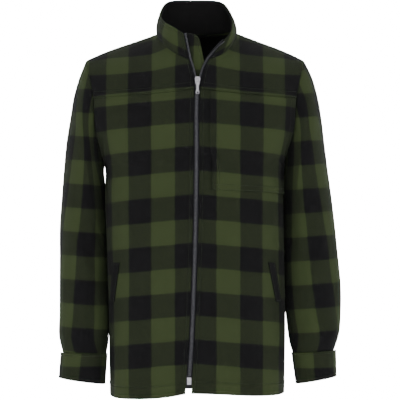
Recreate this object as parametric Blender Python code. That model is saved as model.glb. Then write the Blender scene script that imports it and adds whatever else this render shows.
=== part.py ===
"""Zip-front wool jacket with a stand collar, filled out with no wearer.

Metres, +Z up, the front faces -Y, the wearer's right side is at -X. The origin is the middle of the neck at
the height of the shoulder and neck corner, where the wearer's neck and shoulders hold the jacket.
Every cloth piece is a wall: a grid of outer points worked out from the tables below, with the same points
moved in along their normals as its inside.
"""

import bpy
import numpy as np

# Wall and gap sizes
WALL = 0.0026
CUFF_WALL = 0.0028
LINING_WALL = 0.0015
PATCH_WALL = 0.0018
SEAM_GAP = 0.0005
LAYER_GAP = 0.0006
LINING_GAP = 0.0008

# Rows and columns of the grids
FRONT_COLUMNS = 12
SIDE_SEAM_ROWS = 12
ARMHOLE_POINTS = 24
YOKE_ARMHOLE_STEP = 5
UNDERARM_STEP = ARMHOLE_POINTS // 2
NECK_STEPS = 5
RIDGE_STEPS = FRONT_COLUMNS - NECK_STEPS
BACK_NECK_STEPS = 10
EASE_ROUNDS = 3
COLLAR_ROWS = 4
SLEEVE_RINGS = 17
LINING_EDGE = 0.03
FOLDED_BACK = 0.5

# Body form: superellipses across the body, squarer in front than behind
FRONT_SQUARENESS = 3.1
BACK_SQUARENESS = 2.7

# A row for each height of the body: the middle of the section, its half breadth, and its depth
# in front of and behind the side seams
BODY_ROWS = (
    (-0.752, 0.0035, 0.1810, 0.129, 0.127),
    (-0.600, 0.0032, 0.1832, 0.136, 0.124),
    (-0.450, 0.0002, 0.1847, 0.139, 0.120),
    (-0.330, -0.0027, 0.1852, 0.139, 0.123),
    (-0.275, -0.0032, 0.1855, 0.137, 0.127),
    (-0.241, -0.0028, 0.1975, 0.135, 0.129),
    (-0.218, -0.0022, 0.2070, 0.133, 0.130),
    (-0.193, -0.0015, 0.2150, 0.130, 0.130),
    (-0.165, -0.0012, 0.2190, 0.126, 0.128),
    (-0.130, -0.0010, 0.2215, 0.119, 0.122),
    (-0.090, -0.0010, 0.2245, 0.109, 0.108),
    (-0.050, -0.0010, 0.2265, 0.096, 0.090),
)

# Zip line: heights, and where the middle of the closed zip runs at each, from the hem up to the slider
ZIP_ROWS = (
    (-0.745, -0.0145),
    (-0.703, -0.0120),
    (-0.650, -0.0085),
    (-0.560, -0.0045),
    (-0.420, 0.0000),
    (-0.283, 0.0021),
    (-0.130, 0.0031),
    (-0.100, 0.0045),
)
# Front edges of the yokes above that, where the zip opens: height, right edge, left edge
OPEN_ROWS = (
    (-0.118, -0.0028, 0.0092),
    (-0.092, -0.0040, 0.0140),
    (-0.074, -0.0085, 0.0200),
    (-0.057, -0.0140, 0.0285),
)
ZIP_HALF_OPENING = 0.0060

# Hem: share of the way from the front edge to the side seam, and the heights there of the right front,
# the left front and the back
HEM_ROWS = (
    (0.00, -0.7410, -0.7400, -0.7420),
    (0.12, -0.7465, -0.7410, -0.7420),
    (0.55, -0.7525, -0.7458, -0.7425),
    (0.80, -0.7495, -0.7445, -0.7425),
    (1.00, -0.7400, -0.7400, -0.7400),
)
YOKE_SEAM_FRONT = -0.118
YOKE_SEAM_BACK = -0.128
YOKE_FRONT_OUT = np.array([0.0, -1.0, 0.6])
YOKE_BACK_OUT = np.array([0.0, 1.0, 0.6])

# Armhole: a ring round the shoulder, from the shoulder point down to the underarm
ARMHOLE_TOP = -0.0545
UNDERARM = -0.275
ARMHOLE_FRONT = 0.072
ARMHOLE_BACK = 0.078
SHOULDER_POINT_BACK = 0.006
SHOULDER_RISE = 0.0030
SHOULDER_RISE_POWER = 1.8
FRONT_YOKE_CROWN = 0.004
BACK_YOKE_CROWN = 0.006
BACK_HEM_SAG = -0.004

# Neck seam point, collar rim point and bulge between them, from the right front edge round the back to
# the left front edge
COLLAR_STATIONS = (
    (-0.0140, -0.0975, -0.0570, -0.0250, -0.0900, -0.0030, 0.000),
    (-0.0440, -0.0860, -0.0440, -0.0430, -0.0840, 0.0085, 0.003),
    (-0.0700, -0.0500, -0.0210, -0.0640, -0.0560, 0.0225, 0.005),
    (-0.0790, 0.0080, 0.0020, -0.0735, 0.0000, 0.0460, 0.003),
    (-0.0520, 0.0480, 0.0030, -0.0580, 0.0400, 0.0700, 0.001),
    (0.0020, 0.0600, 0.0020, -0.0020, 0.0530, 0.0742, 0.000),
    (0.0560, 0.0480, 0.0040, 0.0530, 0.0410, 0.0700, 0.001),
    (0.0840, 0.0080, 0.0040, 0.0705, 0.0060, 0.0500, 0.003),
    (0.0780, -0.0460, -0.0220, 0.0775, -0.0420, 0.0180, 0.005),
    (0.0570, -0.0820, -0.0460, 0.0740, -0.0680, 0.0000, 0.004),
    (0.0285, -0.0985, -0.0570, 0.0600, -0.0860, -0.0200, 0.000),
)
RIGHT_NECK_CORNER = 3
LEFT_NECK_CORNER = 7

# Sleeves: a row for each ring, from the armhole down to the cuff seam: its outer and its inner point seen
# from the front, each across and up, its half depths in front and behind, and its middle's depth
SLEEVE_RIGHT_ROWS = (
    (-0.2415, -0.0900, -0.1920, -0.2890, 0.078, 0.080, 0.004),
    (-0.2530, -0.1300, -0.1908, -0.3070, 0.081, 0.081, 0.003),
    (-0.2603, -0.1750, -0.1895, -0.3310, 0.082, 0.081, 0.002),
    (-0.2683, -0.2250, -0.1884, -0.3600, 0.080, 0.079, 0.001),
    (-0.2735, -0.2800, -0.1873, -0.3950, 0.077, 0.076, 0.000),
    (-0.2780, -0.3400, -0.1861, -0.4350, 0.073, 0.073, -0.002),
    (-0.2820, -0.4000, -0.1850, -0.4750, 0.069, 0.070, -0.005),
    (-0.2820, -0.4600, -0.1838, -0.5150, 0.066, 0.066, -0.009),
    (-0.2820, -0.5200, -0.1825, -0.5580, 0.062, 0.062, -0.014),
    (-0.2820, -0.5800, -0.1813, -0.6020, 0.057, 0.057, -0.019),
    (-0.2823, -0.6300, -0.1816, -0.6380, 0.051, 0.051, -0.023),
    (-0.2750, -0.6600, -0.1840, -0.6620, 0.044, 0.044, -0.025),
)
SLEEVE_LEFT_ROWS = (
    (0.2425, -0.0900, 0.1859, -0.2890, 0.078, 0.080, 0.004),
    (0.2540, -0.1300, 0.1850, -0.3070, 0.081, 0.081, 0.003),
    (0.2620, -0.1750, 0.1841, -0.3310, 0.082, 0.081, 0.002),
    (0.2680, -0.2250, 0.1844, -0.3600, 0.080, 0.079, 0.001),
    (0.2748, -0.2800, 0.1850, -0.3950, 0.077, 0.076, 0.000),
    (0.2830, -0.3400, 0.1858, -0.4350, 0.073, 0.073, -0.002),
    (0.2900, -0.4000, 0.1864, -0.4750, 0.069, 0.070, -0.005),
    (0.2960, -0.4600, 0.1868, -0.5150, 0.066, 0.066, -0.009),
    (0.3015, -0.5200, 0.1876, -0.5580, 0.062, 0.062, -0.014),
    (0.3015, -0.5750, 0.1914, -0.6020, 0.057, 0.057, -0.019),
    (0.2970, -0.6250, 0.1957, -0.6380, 0.051, 0.051, -0.023),
    (0.2872, -0.6550, 0.2006, -0.6600, 0.044, 0.044, -0.025),
)
# Cuffs: the ring at the lower edge, as in the sleeves' rows
CUFF_RIGHT_FOOT = (-0.2795, -0.7130, -0.1885, -0.7260, 0.046, 0.046, -0.027)
CUFF_LEFT_FOOT = (0.2885, -0.7100, 0.2095, -0.7250, 0.043, 0.043, -0.027)
CUFF_EASE = 0.0003
CUFF_LAP_STEPS = 3
CUFF_START_STEP = 2
CUFF_ROWS = 3
CUFF_END_LIFT = 0.002
CUFF_END_SHARE = 0.04

# Largest folds of the sleeves: where they lie along (0 armhole, 1 cuff seam) and round the sleeve
# (turns from the outer line towards the front), half their length, half their width, depth and slant
SLEEVE_RIGHT_FOLDS = (
    (0.16, 0.36, 0.14, 0.060, 0.0050, 0.10),
    (0.30, 0.42, 0.12, 0.050, 0.0035, -0.15),
    (0.52, 0.30, 0.10, 0.060, 0.0035, 0.30),
    (0.70, 0.18, 0.10, 0.050, 0.0030, -0.25),
    (0.55, 0.62, 0.12, 0.060, 0.0035, 0.20),
    (0.84, 0.30, 0.09, 0.050, 0.0030, 0.20),
)
SLEEVE_LEFT_FOLDS = (
    (0.16, 0.36, 0.14, 0.060, 0.0045, 0.10),
    (0.33, 0.40, 0.12, 0.050, 0.0040, -0.20),
    (0.56, 0.26, 0.10, 0.060, 0.0040, 0.25),
    (0.72, 0.16, 0.09, 0.050, 0.0030, -0.30),
    (0.60, 0.64, 0.12, 0.060, 0.0035, 0.20),
    (0.86, 0.34, 0.08, 0.050, 0.0030, 0.20),
)

# Largest folds of the fronts and back: across and up the panel as shares of it, half sizes as shares,
# depth, and how far the fold leans across for its height
FRONT_FOLDS = (
    (0.78, 0.62, 0.080, 0.16, 0.0040, 0.10),
    (0.60, 0.30, 0.120, 0.14, 0.0030, -0.15),
    (0.30, 0.14, 0.120, 0.12, 0.0030, 0.10),
)
BACK_FOLDS = (
    (0.16, 0.70, 0.050, 0.18, 0.0045, 0.10),
    (0.84, 0.70, 0.050, 0.18, 0.0045, -0.10),
    (0.36, 0.34, 0.070, 0.14, 0.0035, 0.08),
    (0.66, 0.30, 0.070, 0.14, 0.0035, -0.08),
    (0.50, 0.10, 0.060, 0.10, 0.0030, 0.00),
)

# Zip: how far each strip reaches from the fabric's front edge towards the zip, and its depth behind the
# outer face of the cloth
TAPE = {"start": -0.0040, "end": 0.0057, "front": 0.0044, "back": 0.0054}
TEETH = {"start": 0.0024, "end": 0.0057, "front": -0.0002, "back": 0.0021}
TAPE_FOOT = -0.7280
TEETH_FOOT = -0.7060
GUARD_START = -0.0100
GUARD_REACH = 0.0310
GUARD_FRONT = 0.0066
GUARD_BACK = 0.0088
GUARD_FOOT = -0.7300
GUARD_CORNER = 0.0160

# Slider, in its own frame: Y outwards is negative, 0 is the outer face of the cloth
SLIDER_HEIGHT_AT = -0.1013
SLIDER_PROUD = 0.0009
SLIDER_TOP_WIDTH = 0.0112
SLIDER_FOOT_WIDTH = 0.0084
SLIDER_LENGTH = 0.0150
SLIDER_FACE = (-0.0030, -0.0006)
LOOP_HALF_WIDTH = 0.0015
LOOP_OUTER = -0.0067
LOOP_INNER = -0.0054
LOOP_HEIGHTS = (0.0055, 0.0040, -0.0022, -0.0036)
PIN_Y = -0.0042
PIN_Z = -0.0008
PULL_HALF_THICKNESS = 0.0007
PULL_INNER_HALF = 0.0020
# Outline of the pull tab: distances below its pin, and the half width at each
PULL_ROWS = (
    (-0.0007, 0.0031),
    (0.0040, 0.0034),
    (0.0080, 0.0034),
    (0.0110, 0.0024),
    (0.0160, 0.0020),
    (0.0210, 0.0026),
    (0.0230, 0.0035),
    (0.0285, 0.0035),
)
PULL_SLOT = (0.0007, 0.0066)
PULL_WINDOW = (0.0240, 0.0272)
PULL_WINDOW_HALF = 0.0021
BOX_SIZE = (0.0086, 0.0038, 0.0145)
BOX_FACE = -0.0008
BOX_HEIGHT_AT = -0.7140

# Chest pocket and hand-pocket welts on the fronts
POCKET_SIDE_X = 0.0337
POCKET_FOOT_Z = -0.3240
POCKET_TOP_SHARE = 0.994
POCKET_OUTER_SHARE = 0.915
# Welts: the top and the foot of the pocket's opening, each across and up, and the welt's width
WELT_RIGHT = (-0.1540, -0.4720, -0.1650, -0.5540, 0.014)
WELT_LEFT = (0.1480, -0.4720, 0.1640, -0.5540, 0.014)
WELT_STEPS = 6

COLOURS = {
    "wool": (0.022, 0.027, 0.018),
    "dark_wool": (0.010, 0.011, 0.011),
    "lining": (0.006, 0.006, 0.006),
    "tape": (0.020, 0.020, 0.023),
    "teeth": (0.060, 0.060, 0.068),
    "metal": (0.380, 0.370, 0.380),
}
METALS = {"teeth": 0.8, "metal": 1.0}


def unit(vectors):
    """The same directions with length one."""
    return vectors / np.maximum(np.linalg.norm(vectors, axis=-1, keepdims=True), 1e-12)


def smooth(places, values, at):
    """Values of a smooth curve through the given ones, read at other places: cubic pieces whose slope at
    each given place is that between its neighbours."""
    places = np.asarray(places, float)
    values = np.asarray(values, float).reshape(len(places), -1)
    at = np.clip(np.asarray(at, float), places[0], places[-1])
    slopes = np.gradient(values, places, axis=0)
    i = np.clip(np.searchsorted(places, at) - 1, 0, len(places) - 2)
    span = (places[i + 1] - places[i])[..., None]
    t = (at - places[i])[..., None] / span
    start = (1 + 2 * t) * (1 - t) ** 2 * values[i] + t * (1 - t) ** 2 * span * slopes[i]
    return start + t**2 * (3 - 2 * t) * values[i + 1] + t**2 * (t - 1) * span * slopes[i + 1]


def table(rows, at):
    """The columns of a table after its first, read at other values of the first."""
    rows = np.array(sorted(rows))
    return smooth(rows[:, 0], rows[:, 1:], at)


def lengths(points):
    """Distance along a line of points, from 0 at its first point."""
    steps = np.linalg.norm(np.diff(points, axis=0), axis=1)
    return np.concatenate([[0.0], np.cumsum(steps)])


def even(points, steps):
    """The same line in equal steps."""
    along = lengths(points)
    at = np.linspace(0, along[-1], steps + 1)
    return np.stack([np.interp(at, along, points[:, i]) for i in range(3)], axis=1)


def body_point(across, y, z):
    """A point of the body form at a depth y and height z, on the side that the sign of across gives."""
    middle, half, front, back = table(BODY_ROWS, np.array([z]))[0]
    depth, square = (front, FRONT_SQUARENESS) if y < 0 else (back, BACK_SQUARENESS)
    reach = half * (1 - (abs(y) / depth) ** square) ** (1 / square)
    return np.array([middle + np.sign(across) * reach, y, z])


def front_point(x, z):
    """A point of the body's front at a place across and a height."""
    middle, half, front, _ = table(BODY_ROWS, np.array([z]))[0]
    rest = 1 - (abs(x - middle) / half) ** FRONT_SQUARENESS
    return np.array([x, -front * rest ** (1 / FRONT_SQUARENESS), z])


def body_row(start, end, steps, behind=False):
    """A line over the body form between two of its points, in equal steps. Its angle about the middle
    and its height change evenly."""
    angles = []
    for point in (start, end):
        middle = table(BODY_ROWS, np.array([point[2]]))[0][0]
        angle = np.arctan2(abs(point[1]), point[0] - middle)
        angles.append(angle if behind else -angle)
    share = np.linspace(0, 1, 240)
    angle = angles[0] + (angles[1] - angles[0]) * share
    z = start[2] + (end[2] - start[2]) * share
    middle, half, front, back = table(BODY_ROWS, z).T
    depth, square = (back, BACK_SQUARENESS) if behind else (front, FRONT_SQUARENESS)
    across = np.abs(np.cos(angle) / half) ** square
    through = np.abs(np.sin(angle) / depth) ** square
    radius = (across + through) ** (-1 / square)
    line = np.stack([middle + radius * np.cos(angle), radius * np.sin(angle), z], axis=1)
    line[0], line[-1] = start, end
    return even(line, steps)


def armhole(side):
    """The armhole's ring of points: down the front from the shoulder, under the arm and up the back."""
    turn = np.arange(ARMHOLE_POINTS) * 2 * np.pi / ARMHOLE_POINTS
    height = (ARMHOLE_TOP + UNDERARM) / 2 + (ARMHOLE_TOP - UNDERARM) / 2 * np.cos(turn)
    reach = np.where(np.sin(turn) > 0, ARMHOLE_FRONT, ARMHOLE_BACK)
    depth = SHOULDER_POINT_BACK * (1 + np.cos(turn)) / 2 - reach * np.sin(turn)
    return np.array([body_point(side, y, z) for y, z in zip(depth, height)])


def normals(grid, outward, closed=False):
    """Unit normals of a grid of points, on the side that outward points to."""
    if closed:
        around = np.roll(grid, -1, axis=1) - np.roll(grid, 1, axis=1)
    else:
        around = np.gradient(grid, axis=1)
    found = unit(np.cross(around, np.gradient(grid, axis=0)))
    side = np.sign(np.sum(found * outward, axis=-1).sum())
    return found * side


def from_axis(grid):
    """Rough outward directions of a piece round the body."""
    return grid * np.array([1.0, 1.0, 0.0]) + np.array([0.0, 0.0, 1e-6])


def trimmed(grid, left=0.0, right=0.0, foot=0.0, top=0.0):
    """The same grid with its edge points moved in along the grid by the distances given."""
    grid = grid.copy()
    for edge, inner, amount in (
        (np.s_[:, 0], np.s_[:, 1], left),
        (np.s_[:, -1], np.s_[:, -2], right),
        (np.s_[0, :], np.s_[1, :], foot),
        (np.s_[-1, :], np.s_[-2, :], top),
    ):
        if amount:
            grid[edge] += unit(grid[inner] - grid[edge]) * amount
    return grid


def sample(grid, across, up):
    """Points of a grid at shares across and up it, read between its own points."""
    rows, columns = grid.shape[0] - 1, grid.shape[1] - 1
    across, up = np.broadcast_arrays(np.asarray(across, float), np.asarray(up, float))
    i = np.clip((up * rows).astype(int), 0, rows - 1)
    j = np.clip((across * columns).astype(int), 0, columns - 1)
    s, t = (up * rows - i)[..., None], (across * columns - j)[..., None]
    low = (1 - t) * grid[i, j] + t * grid[i, j + 1]
    high = (1 - t) * grid[i + 1, j] + t * grid[i + 1, j + 1]
    return (1 - s) * low + s * high


def between(start, end, count):
    """Two shares of a grid, with the shares of those of its own lines that lie well between them."""
    lines = np.linspace(0, 1, count)
    margin = 0.2 / (count - 1)
    return np.concatenate([[start], lines[(lines > start + margin) & (lines < end - margin)], [end]])


def place(grid, x, z):
    """The shares across and up a grid at which it lies nearest to a place seen from the front."""
    across, up = np.meshgrid(np.linspace(0, 1, 241), np.linspace(0, 1, 241))
    found = sample(grid, across, up)
    nearest = np.argmin((found[..., 0] - x) ** 2 + (found[..., 2] - z) ** 2)
    return across.flat[nearest], up.flat[nearest]


def coons(foot, top, left, right):
    """A patch between four lines of points that meet at its corners."""
    u = np.linspace(0, 1, len(foot))[None, :, None]
    v = np.linspace(0, 1, len(left))[:, None, None]
    between = (1 - v) * foot[None] + v * top[None] + (1 - u) * left[:, None] + u * right[:, None]
    corners = (1 - u) * ((1 - v) * foot[0] + v * top[0]) + u * ((1 - v) * foot[-1] + v * top[-1])
    return between - corners


def eased(grid, crown, outward):
    """A patch with its inside smoothed, then crowned outwards in its middle."""
    for _ in range(EASE_ROUNDS):
        around = grid[:-2, 1:-1] + grid[2:, 1:-1] + grid[1:-1, :-2] + grid[1:-1, 2:]
        grid[1:-1, 1:-1] = 0.5 * grid[1:-1, 1:-1] + 0.125 * around
    u = np.linspace(0, 1, grid.shape[1])[None, :, None]
    v = np.linspace(0, 1, grid.shape[0])[:, None, None]
    return grid + normals(grid, outward) * crown * np.sin(np.pi * u) * np.sin(np.pi * v)


def folded(grid, rows, outward):
    """A panel with troughs pressed into it, which fade out towards its edges."""
    u = np.linspace(0, 1, grid.shape[1])[None, :]
    v = np.linspace(0, 1, grid.shape[0])[:, None]
    inside = np.minimum(np.minimum(u, 1 - u), np.minimum(v, 1 - v)) / 0.10
    depth = np.zeros(grid.shape[:2])
    for across, up, half_across, half_up, deep, lean in rows:
        off = (u - across - lean * (v - up)) / half_across
        depth += deep * np.exp(-(off**2) - ((v - up) / half_up) ** 2)
    return grid - normals(grid, outward) * (depth * np.clip(inside, 0, 1))[..., None]


def material(name):
    """A plain finish in the piece's own colour."""
    found = bpy.data.materials.get(name)
    if found is None:
        found = bpy.data.materials.new(name)
        found.use_nodes = True
        shader = found.node_tree.nodes["Principled BSDF"]
        shader.inputs["Base Color"].default_value = (*COLOURS[name], 1.0)
        shader.inputs["Metallic"].default_value = METALS.get(name, 0.0)
        shader.inputs["Roughness"].default_value = 0.35 if name in METALS else 0.92
    return found


def signed_volume(points, faces):
    """Six times the volume inside the faces, negative where they face inwards."""
    total = 0.0
    for face in faces:
        first = points[face[0]]
        for a, b in zip(face[1:-1], face[2:]):
            total += np.dot(first, np.cross(points[a], points[b]))
    return total


def make_object(name, points, faces, finish, flat=False):
    """A mesh object from points in metres, with its faces turned outwards."""
    points = np.asarray(points, float)
    if signed_volume(points - points.mean(axis=0), faces) < 0:
        faces = [tuple(reversed(face)) for face in faces]
    mesh = bpy.data.meshes.new(name)
    mesh.from_pydata(points.tolist(), [], faces)
    if not flat:
        mesh.shade_smooth()
        mesh.set_sharp_from_angle(angle=np.radians(40))
    mesh.materials.append(material(finish))
    made = bpy.data.objects.new(name, mesh)
    bpy.context.collection.objects.link(made)
    return made


def shell(name, outer, inner, finish, closed=False):
    """A solid between an outer and an inner grid of points, joined along their edges."""
    rows, columns = outer.shape[:2]
    count = rows * columns
    last = columns if closed else columns - 1
    faces = []
    for i in range(rows - 1):
        for j in range(last):
            a, b = i * columns + j, i * columns + (j + 1) % columns
            c, d = b + columns, a + columns
            faces += [(a, b, c), (a, c, d)]
            faces += [(a + count, c + count, b + count), (a + count, d + count, c + count)]
    for j in range(last):
        a, b = j, (j + 1) % columns
        faces.append((b, a, a + count, b + count))
        c, d = (rows - 1) * columns + a, (rows - 1) * columns + b
        faces.append((c, d, d + count, c + count))
    if not closed:
        for i in range(rows - 1):
            a, b = i * columns, (i + 1) * columns
            faces.append((a, b, b + count, a + count))
            c, d = a + columns - 1, b + columns - 1
            faces.append((d, c, c + count, d + count))
    points = np.concatenate([outer.reshape(-1, 3), inner.reshape(-1, 3)])
    return make_object(name, points, faces, finish)


def wall(name, grid, facing, finish, thickness=WALL, out=0.0, closed=False):
    """A wall of the thickness given, whose outer face is the grid moved out by a distance."""
    return shell(name, grid + facing * out, grid + facing * (out - thickness), finish, closed)


def sewn(cloths):
    """Gives the edge points that two or more pieces share one normal, so that their walls meet at each seam
    without crossing, except under the arm, where three pieces meet in a fold. Each piece is a grid, its
    normals, and whether it is closed round."""
    shared = {}
    edges = []
    for grid, facing, closed in cloths:
        rows, columns = grid.shape[:2]
        border = [(i, j) for i in (0, rows - 1) for j in range(columns)]
        if not closed:
            border += [(i, j) for i in range(1, rows - 1) for j in (0, columns - 1)]
        for i, j in border:
            key = tuple(np.round(grid[i, j], 5))
            shared.setdefault(key, []).append(facing[i, j].copy())
            edges.append((facing, i, j, key))
    for facing, i, j, key in edges:
        mean = np.mean(shared[key], axis=0)
        if len(shared[key]) < 3 or np.linalg.norm(mean) > FOLDED_BACK:
            facing[i, j] = unit(mean)


def hem_height(share, column):
    """The hem's height at a share of the way from the front edge to the side seam."""
    rows = [(row[0], row[column]) for row in HEM_ROWS]
    return float(table(rows, np.array([share]))[0, 0])


def front_edge(side, z):
    """The front edge of the cloth beside the zip, at a height."""
    if z > OPEN_ROWS[0][0]:
        x = table(OPEN_ROWS, np.array([z]))[0][0 if side < 0 else 1]
    else:
        x = table(ZIP_ROWS, np.array([z]))[0][0] + side * ZIP_HALF_OPENING
    return front_point(x, z)


def front_panel(side, ring):
    """A front below the yoke seam: rows over the body form, from the front edge to the side seam and then
    to the armhole, and from the hem up to the yoke seam."""
    column = 1 if side < 0 else 2
    side_foot = hem_height(1.0, column)
    side_heights = np.linspace(side_foot, UNDERARM, SIDE_SEAM_ROWS + 1)
    ends = [body_point(side, 0.0, z) for z in side_heights[:-1]]
    ends += [ring[k] for k in range(UNDERARM_STEP, YOKE_ARMHOLE_STEP - 1, -1)]
    foot, top = ends[0][2], ends[-1][2]
    rows = []
    for end in ends:
        share = (end[2] - foot) / (top - foot)
        z = hem_height(0.0, column) + share * (YOKE_SEAM_FRONT - hem_height(0.0, column))
        rows.append(body_row(front_edge(side, z), end, FRONT_COLUMNS))
    grid = np.array(rows)
    shares = np.linspace(0, 1, FRONT_COLUMNS + 1)
    level = (1 - shares) * grid[0, 0, 2] + shares * grid[0, -1, 2]
    grid[0, :, 2] += np.array([hem_height(share, column) for share in shares]) - level
    return folded(grid, FRONT_FOLDS, from_axis(grid))


def neck_lines():
    """The neck seam and the collar's rim and bulge, each as the stretches between the neck's corners."""
    stations = np.array(COLLAR_STATIONS)
    along = lengths(stations[:, :3])
    dense = np.linspace(0, along[-1], 600)
    read = smooth(along, stations, dense)
    corners = np.searchsorted(dense, along[[RIGHT_NECK_CORNER, LEFT_NECK_CORNER]])
    cuts = (0, corners[0], corners[1], len(dense) - 1)
    pieces = []
    for start, end, steps in zip(cuts[:-1], cuts[1:], (NECK_STEPS, BACK_NECK_STEPS, NECK_STEPS)):
        at = np.linspace(start, end, steps + 1)
        columns = [np.interp(at, np.arange(len(dense)), read[:, i]) for i in range(7)]
        pieces.append(np.stack(columns, axis=1))
    return pieces


def ridge(side, neck_corner, ring):
    """The shoulder line from the neck's corner to the shoulder point, raised most towards the shoulder."""
    share = np.linspace(0, 1, RIDGE_STEPS + 1)[:, None]
    line = (1 - share) * neck_corner + share * ring[0]
    return line + np.array([0.0, 0.0, SHOULDER_RISE]) * np.sin(np.pi * share**SHOULDER_RISE_POWER)


def front_yoke(side, seam_row, neck, ring):
    """A front yoke, between the yoke seam, the front edge, the neck, the shoulder line and the armhole."""
    corner = neck[-1]
    top = np.concatenate([neck, ridge(side, corner, ring)[1:]])
    start = seam_row[0]
    heights = np.linspace(start[2], neck[0][2], YOKE_ARMHOLE_STEP + 1)
    edge = np.array([front_edge(side, z) for z in heights])
    edge += np.linspace(0, 1, len(edge))[:, None] * (neck[0] - edge[-1])
    hole = np.array([ring[k] for k in range(YOKE_ARMHOLE_STEP, -1, -1)])
    grid = coons(seam_row, top, edge, hole)
    return eased(grid, FRONT_YOKE_CROWN, YOKE_FRONT_OUT)


def back_panel(rings):
    """The back below its yoke seam, from the right side seam and armhole to the left ones."""
    sides = []
    for side in (-1, 1):
        heights = np.linspace(hem_height(1.0, 3), UNDERARM, SIDE_SEAM_ROWS + 1)
        ends = [body_point(side, 0.0, z) for z in heights[:-1]]
        last = ARMHOLE_POINTS - YOKE_ARMHOLE_STEP
        ends += [rings[side][k] for k in range(UNDERARM_STEP, last + 1)]
        sides.append(ends)
    columns = 2 * RIDGE_STEPS + BACK_NECK_STEPS
    grid = np.array([body_row(a, b, columns, behind=True) for a, b in zip(*sides)])
    share = np.linspace(0, 1, grid.shape[0])[:, None]
    across = np.sin(np.pi * np.linspace(0, 1, columns + 1))[None, :]
    grid[..., 2] += across * ((1 - share) * BACK_HEM_SAG + share * (YOKE_SEAM_BACK - grid[-1, 0, 2]))
    return folded(grid, BACK_FOLDS, from_axis(grid))


def back_yoke(seam_row, neck, rings):
    """The back yoke, up to the shoulder lines and the neck."""
    right = ridge(-1, neck[0], rings[-1])[::-1]
    left = ridge(1, neck[-1], rings[1])
    top = np.concatenate([right, neck[1:-1], left])
    holes = []
    for side in (-1, 1):
        first = ARMHOLE_POINTS - YOKE_ARMHOLE_STEP
        holes.append(np.array([rings[side][k % ARMHOLE_POINTS] for k in range(first, ARMHOLE_POINTS + 1)]))
    grid = coons(seam_row, top, holes[0], holes[1])
    return eased(grid, BACK_YOKE_CROWN, YOKE_BACK_OUT)


def collar_grid(neck):
    """The collar, from the neck seam up to its rim, a little bulged outwards between them."""
    line = np.concatenate([neck[0], neck[1][1:], neck[2][1:]])
    share = np.linspace(0, 1, COLLAR_ROWS + 1)[:, None, None]
    grid = (1 - share) * line[None, :, :3] + share * line[None, :, 3:6]
    outward = unit(line[:, :3] * np.array([1.0, 1.0, 0.0]))
    return grid + outward[None] * line[None, :, 6:7] * 4 * share * (1 - share)


def ring_of(row, side, turn):
    """Points of one ring round the arm: an ellipse between its outer and its inner point, with its own half
    depths in front and behind. Turns run from the outer point towards the front."""
    outer_x, outer_z, inner_x, inner_z, front, back, middle_y = row
    x = (outer_x + inner_x) / 2 + (outer_x - inner_x) / 2 * np.cos(turn)
    z = (outer_z + inner_z) / 2 + (outer_z - inner_z) / 2 * np.cos(turn)
    y = middle_y - np.where(np.sin(turn) > 0, front, back) * np.sin(turn)
    return np.stack([x, y, z], axis=-1)


def sleeve_grid(rows, side, ring, folds):
    """A sleeve: the armhole's ring, then the rings of the table, read smoothly down the arm, with the
    sleeve's largest folds pressed in."""
    turn = np.arange(ARMHOLE_POINTS) * 2 * np.pi / ARMHOLE_POINTS
    rings = np.array([ring] + [ring_of(row, side, turn) for row in rows])
    along = lengths(rings.mean(axis=1))
    at = np.linspace(0, along[-1], SLEEVE_RINGS + 1)
    grid = smooth(along, rings.reshape(len(rings), -1), at).reshape(len(at), ARMHOLE_POINTS, 3)
    outward = grid - grid.mean(axis=1, keepdims=True)
    share = np.linspace(0, 1, len(at))[:, None]
    around = (turn / (2 * np.pi))[None, :]
    depth = np.zeros(grid.shape[:2])
    for down, place_round, half_length, half_width, deep, slant in folds:
        off = around - place_round - slant * (share - down)
        off = (off + 0.5) % 1.0 - 0.5
        depth += deep * np.exp(-((off / half_width) ** 2) - ((share - down) / half_length) ** 2)
    fade = np.clip(np.minimum(share / 0.08, (1 - share) / 0.05), 0, 1)
    return grid - normals(grid, outward, True) * (depth * fade)[..., None]


def cuff(name, seam, foot_row, side):
    """A cuff: a band that winds once round the wrist and laps over its own start at the outer side."""
    step = 2 * np.pi / ARMHOLE_POINTS
    count = ARMHOLE_POINTS + CUFF_LAP_STEPS
    turn = (CUFF_START_STEP - np.arange(count + 1)) * step
    share = np.linspace(0, 1, CUFF_ROWS + 1)[:, None, None]
    top = ring_of(seam, side, turn)
    foot = ring_of(foot_row, side, turn)
    grid = (1 - share) * top[None] + share * foot[None]
    axis = grid[:, :ARMHOLE_POINTS].mean(axis=1, keepdims=True)
    outward = unit((grid - axis) * np.array([1.0, 1.0, 0.0]))
    wind = np.linspace(0, 1, count + 1)[None, :, None]
    grow = CUFF_EASE + (CUFF_WALL + LAYER_GAP) * wind * count / ARMHOLE_POINTS
    lift = np.clip((wind - 1) / CUFF_END_SHARE + 1, 0, 1) * (1 - share)
    grid = grid + outward * (grow + CUFF_END_LIFT * lift)
    grid[:, :, 2] -= SEAM_GAP * (1 - share[..., 0])
    shell(name, grid, grid - outward * CUFF_WALL, "wool")


def edge_line(panel, yoke, collar, side, outward=np.array([0.0, -1.0, 0.0])):
    """The front edge from hem to rim, with the directions towards the zip and outwards at each point."""
    columns = ((panel, 0, 1), (yoke, 0, 1), (collar, 0, 1) if side < 0 else (collar, -1, -2))
    points, towards = [], []
    for number, (grid, first, second) in enumerate(columns):
        skip = 1 if number else 0
        points.append(grid[skip:, first])
        towards.append((grid[:, first] - grid[:, second])[skip:])
    points, towards = np.concatenate(points), unit(np.concatenate(towards))
    along = unit(np.gradient(points, axis=0))
    towards = unit(towards - np.sum(towards * along, axis=1, keepdims=True) * along)
    for _ in range(2):
        towards[1:-1] = unit(towards[:-2] + 2 * towards[1:-1] + towards[2:])
    facing = unit(np.cross(along, towards))
    facing *= np.sign(facing[0] @ outward)
    return points, towards, facing


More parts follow.
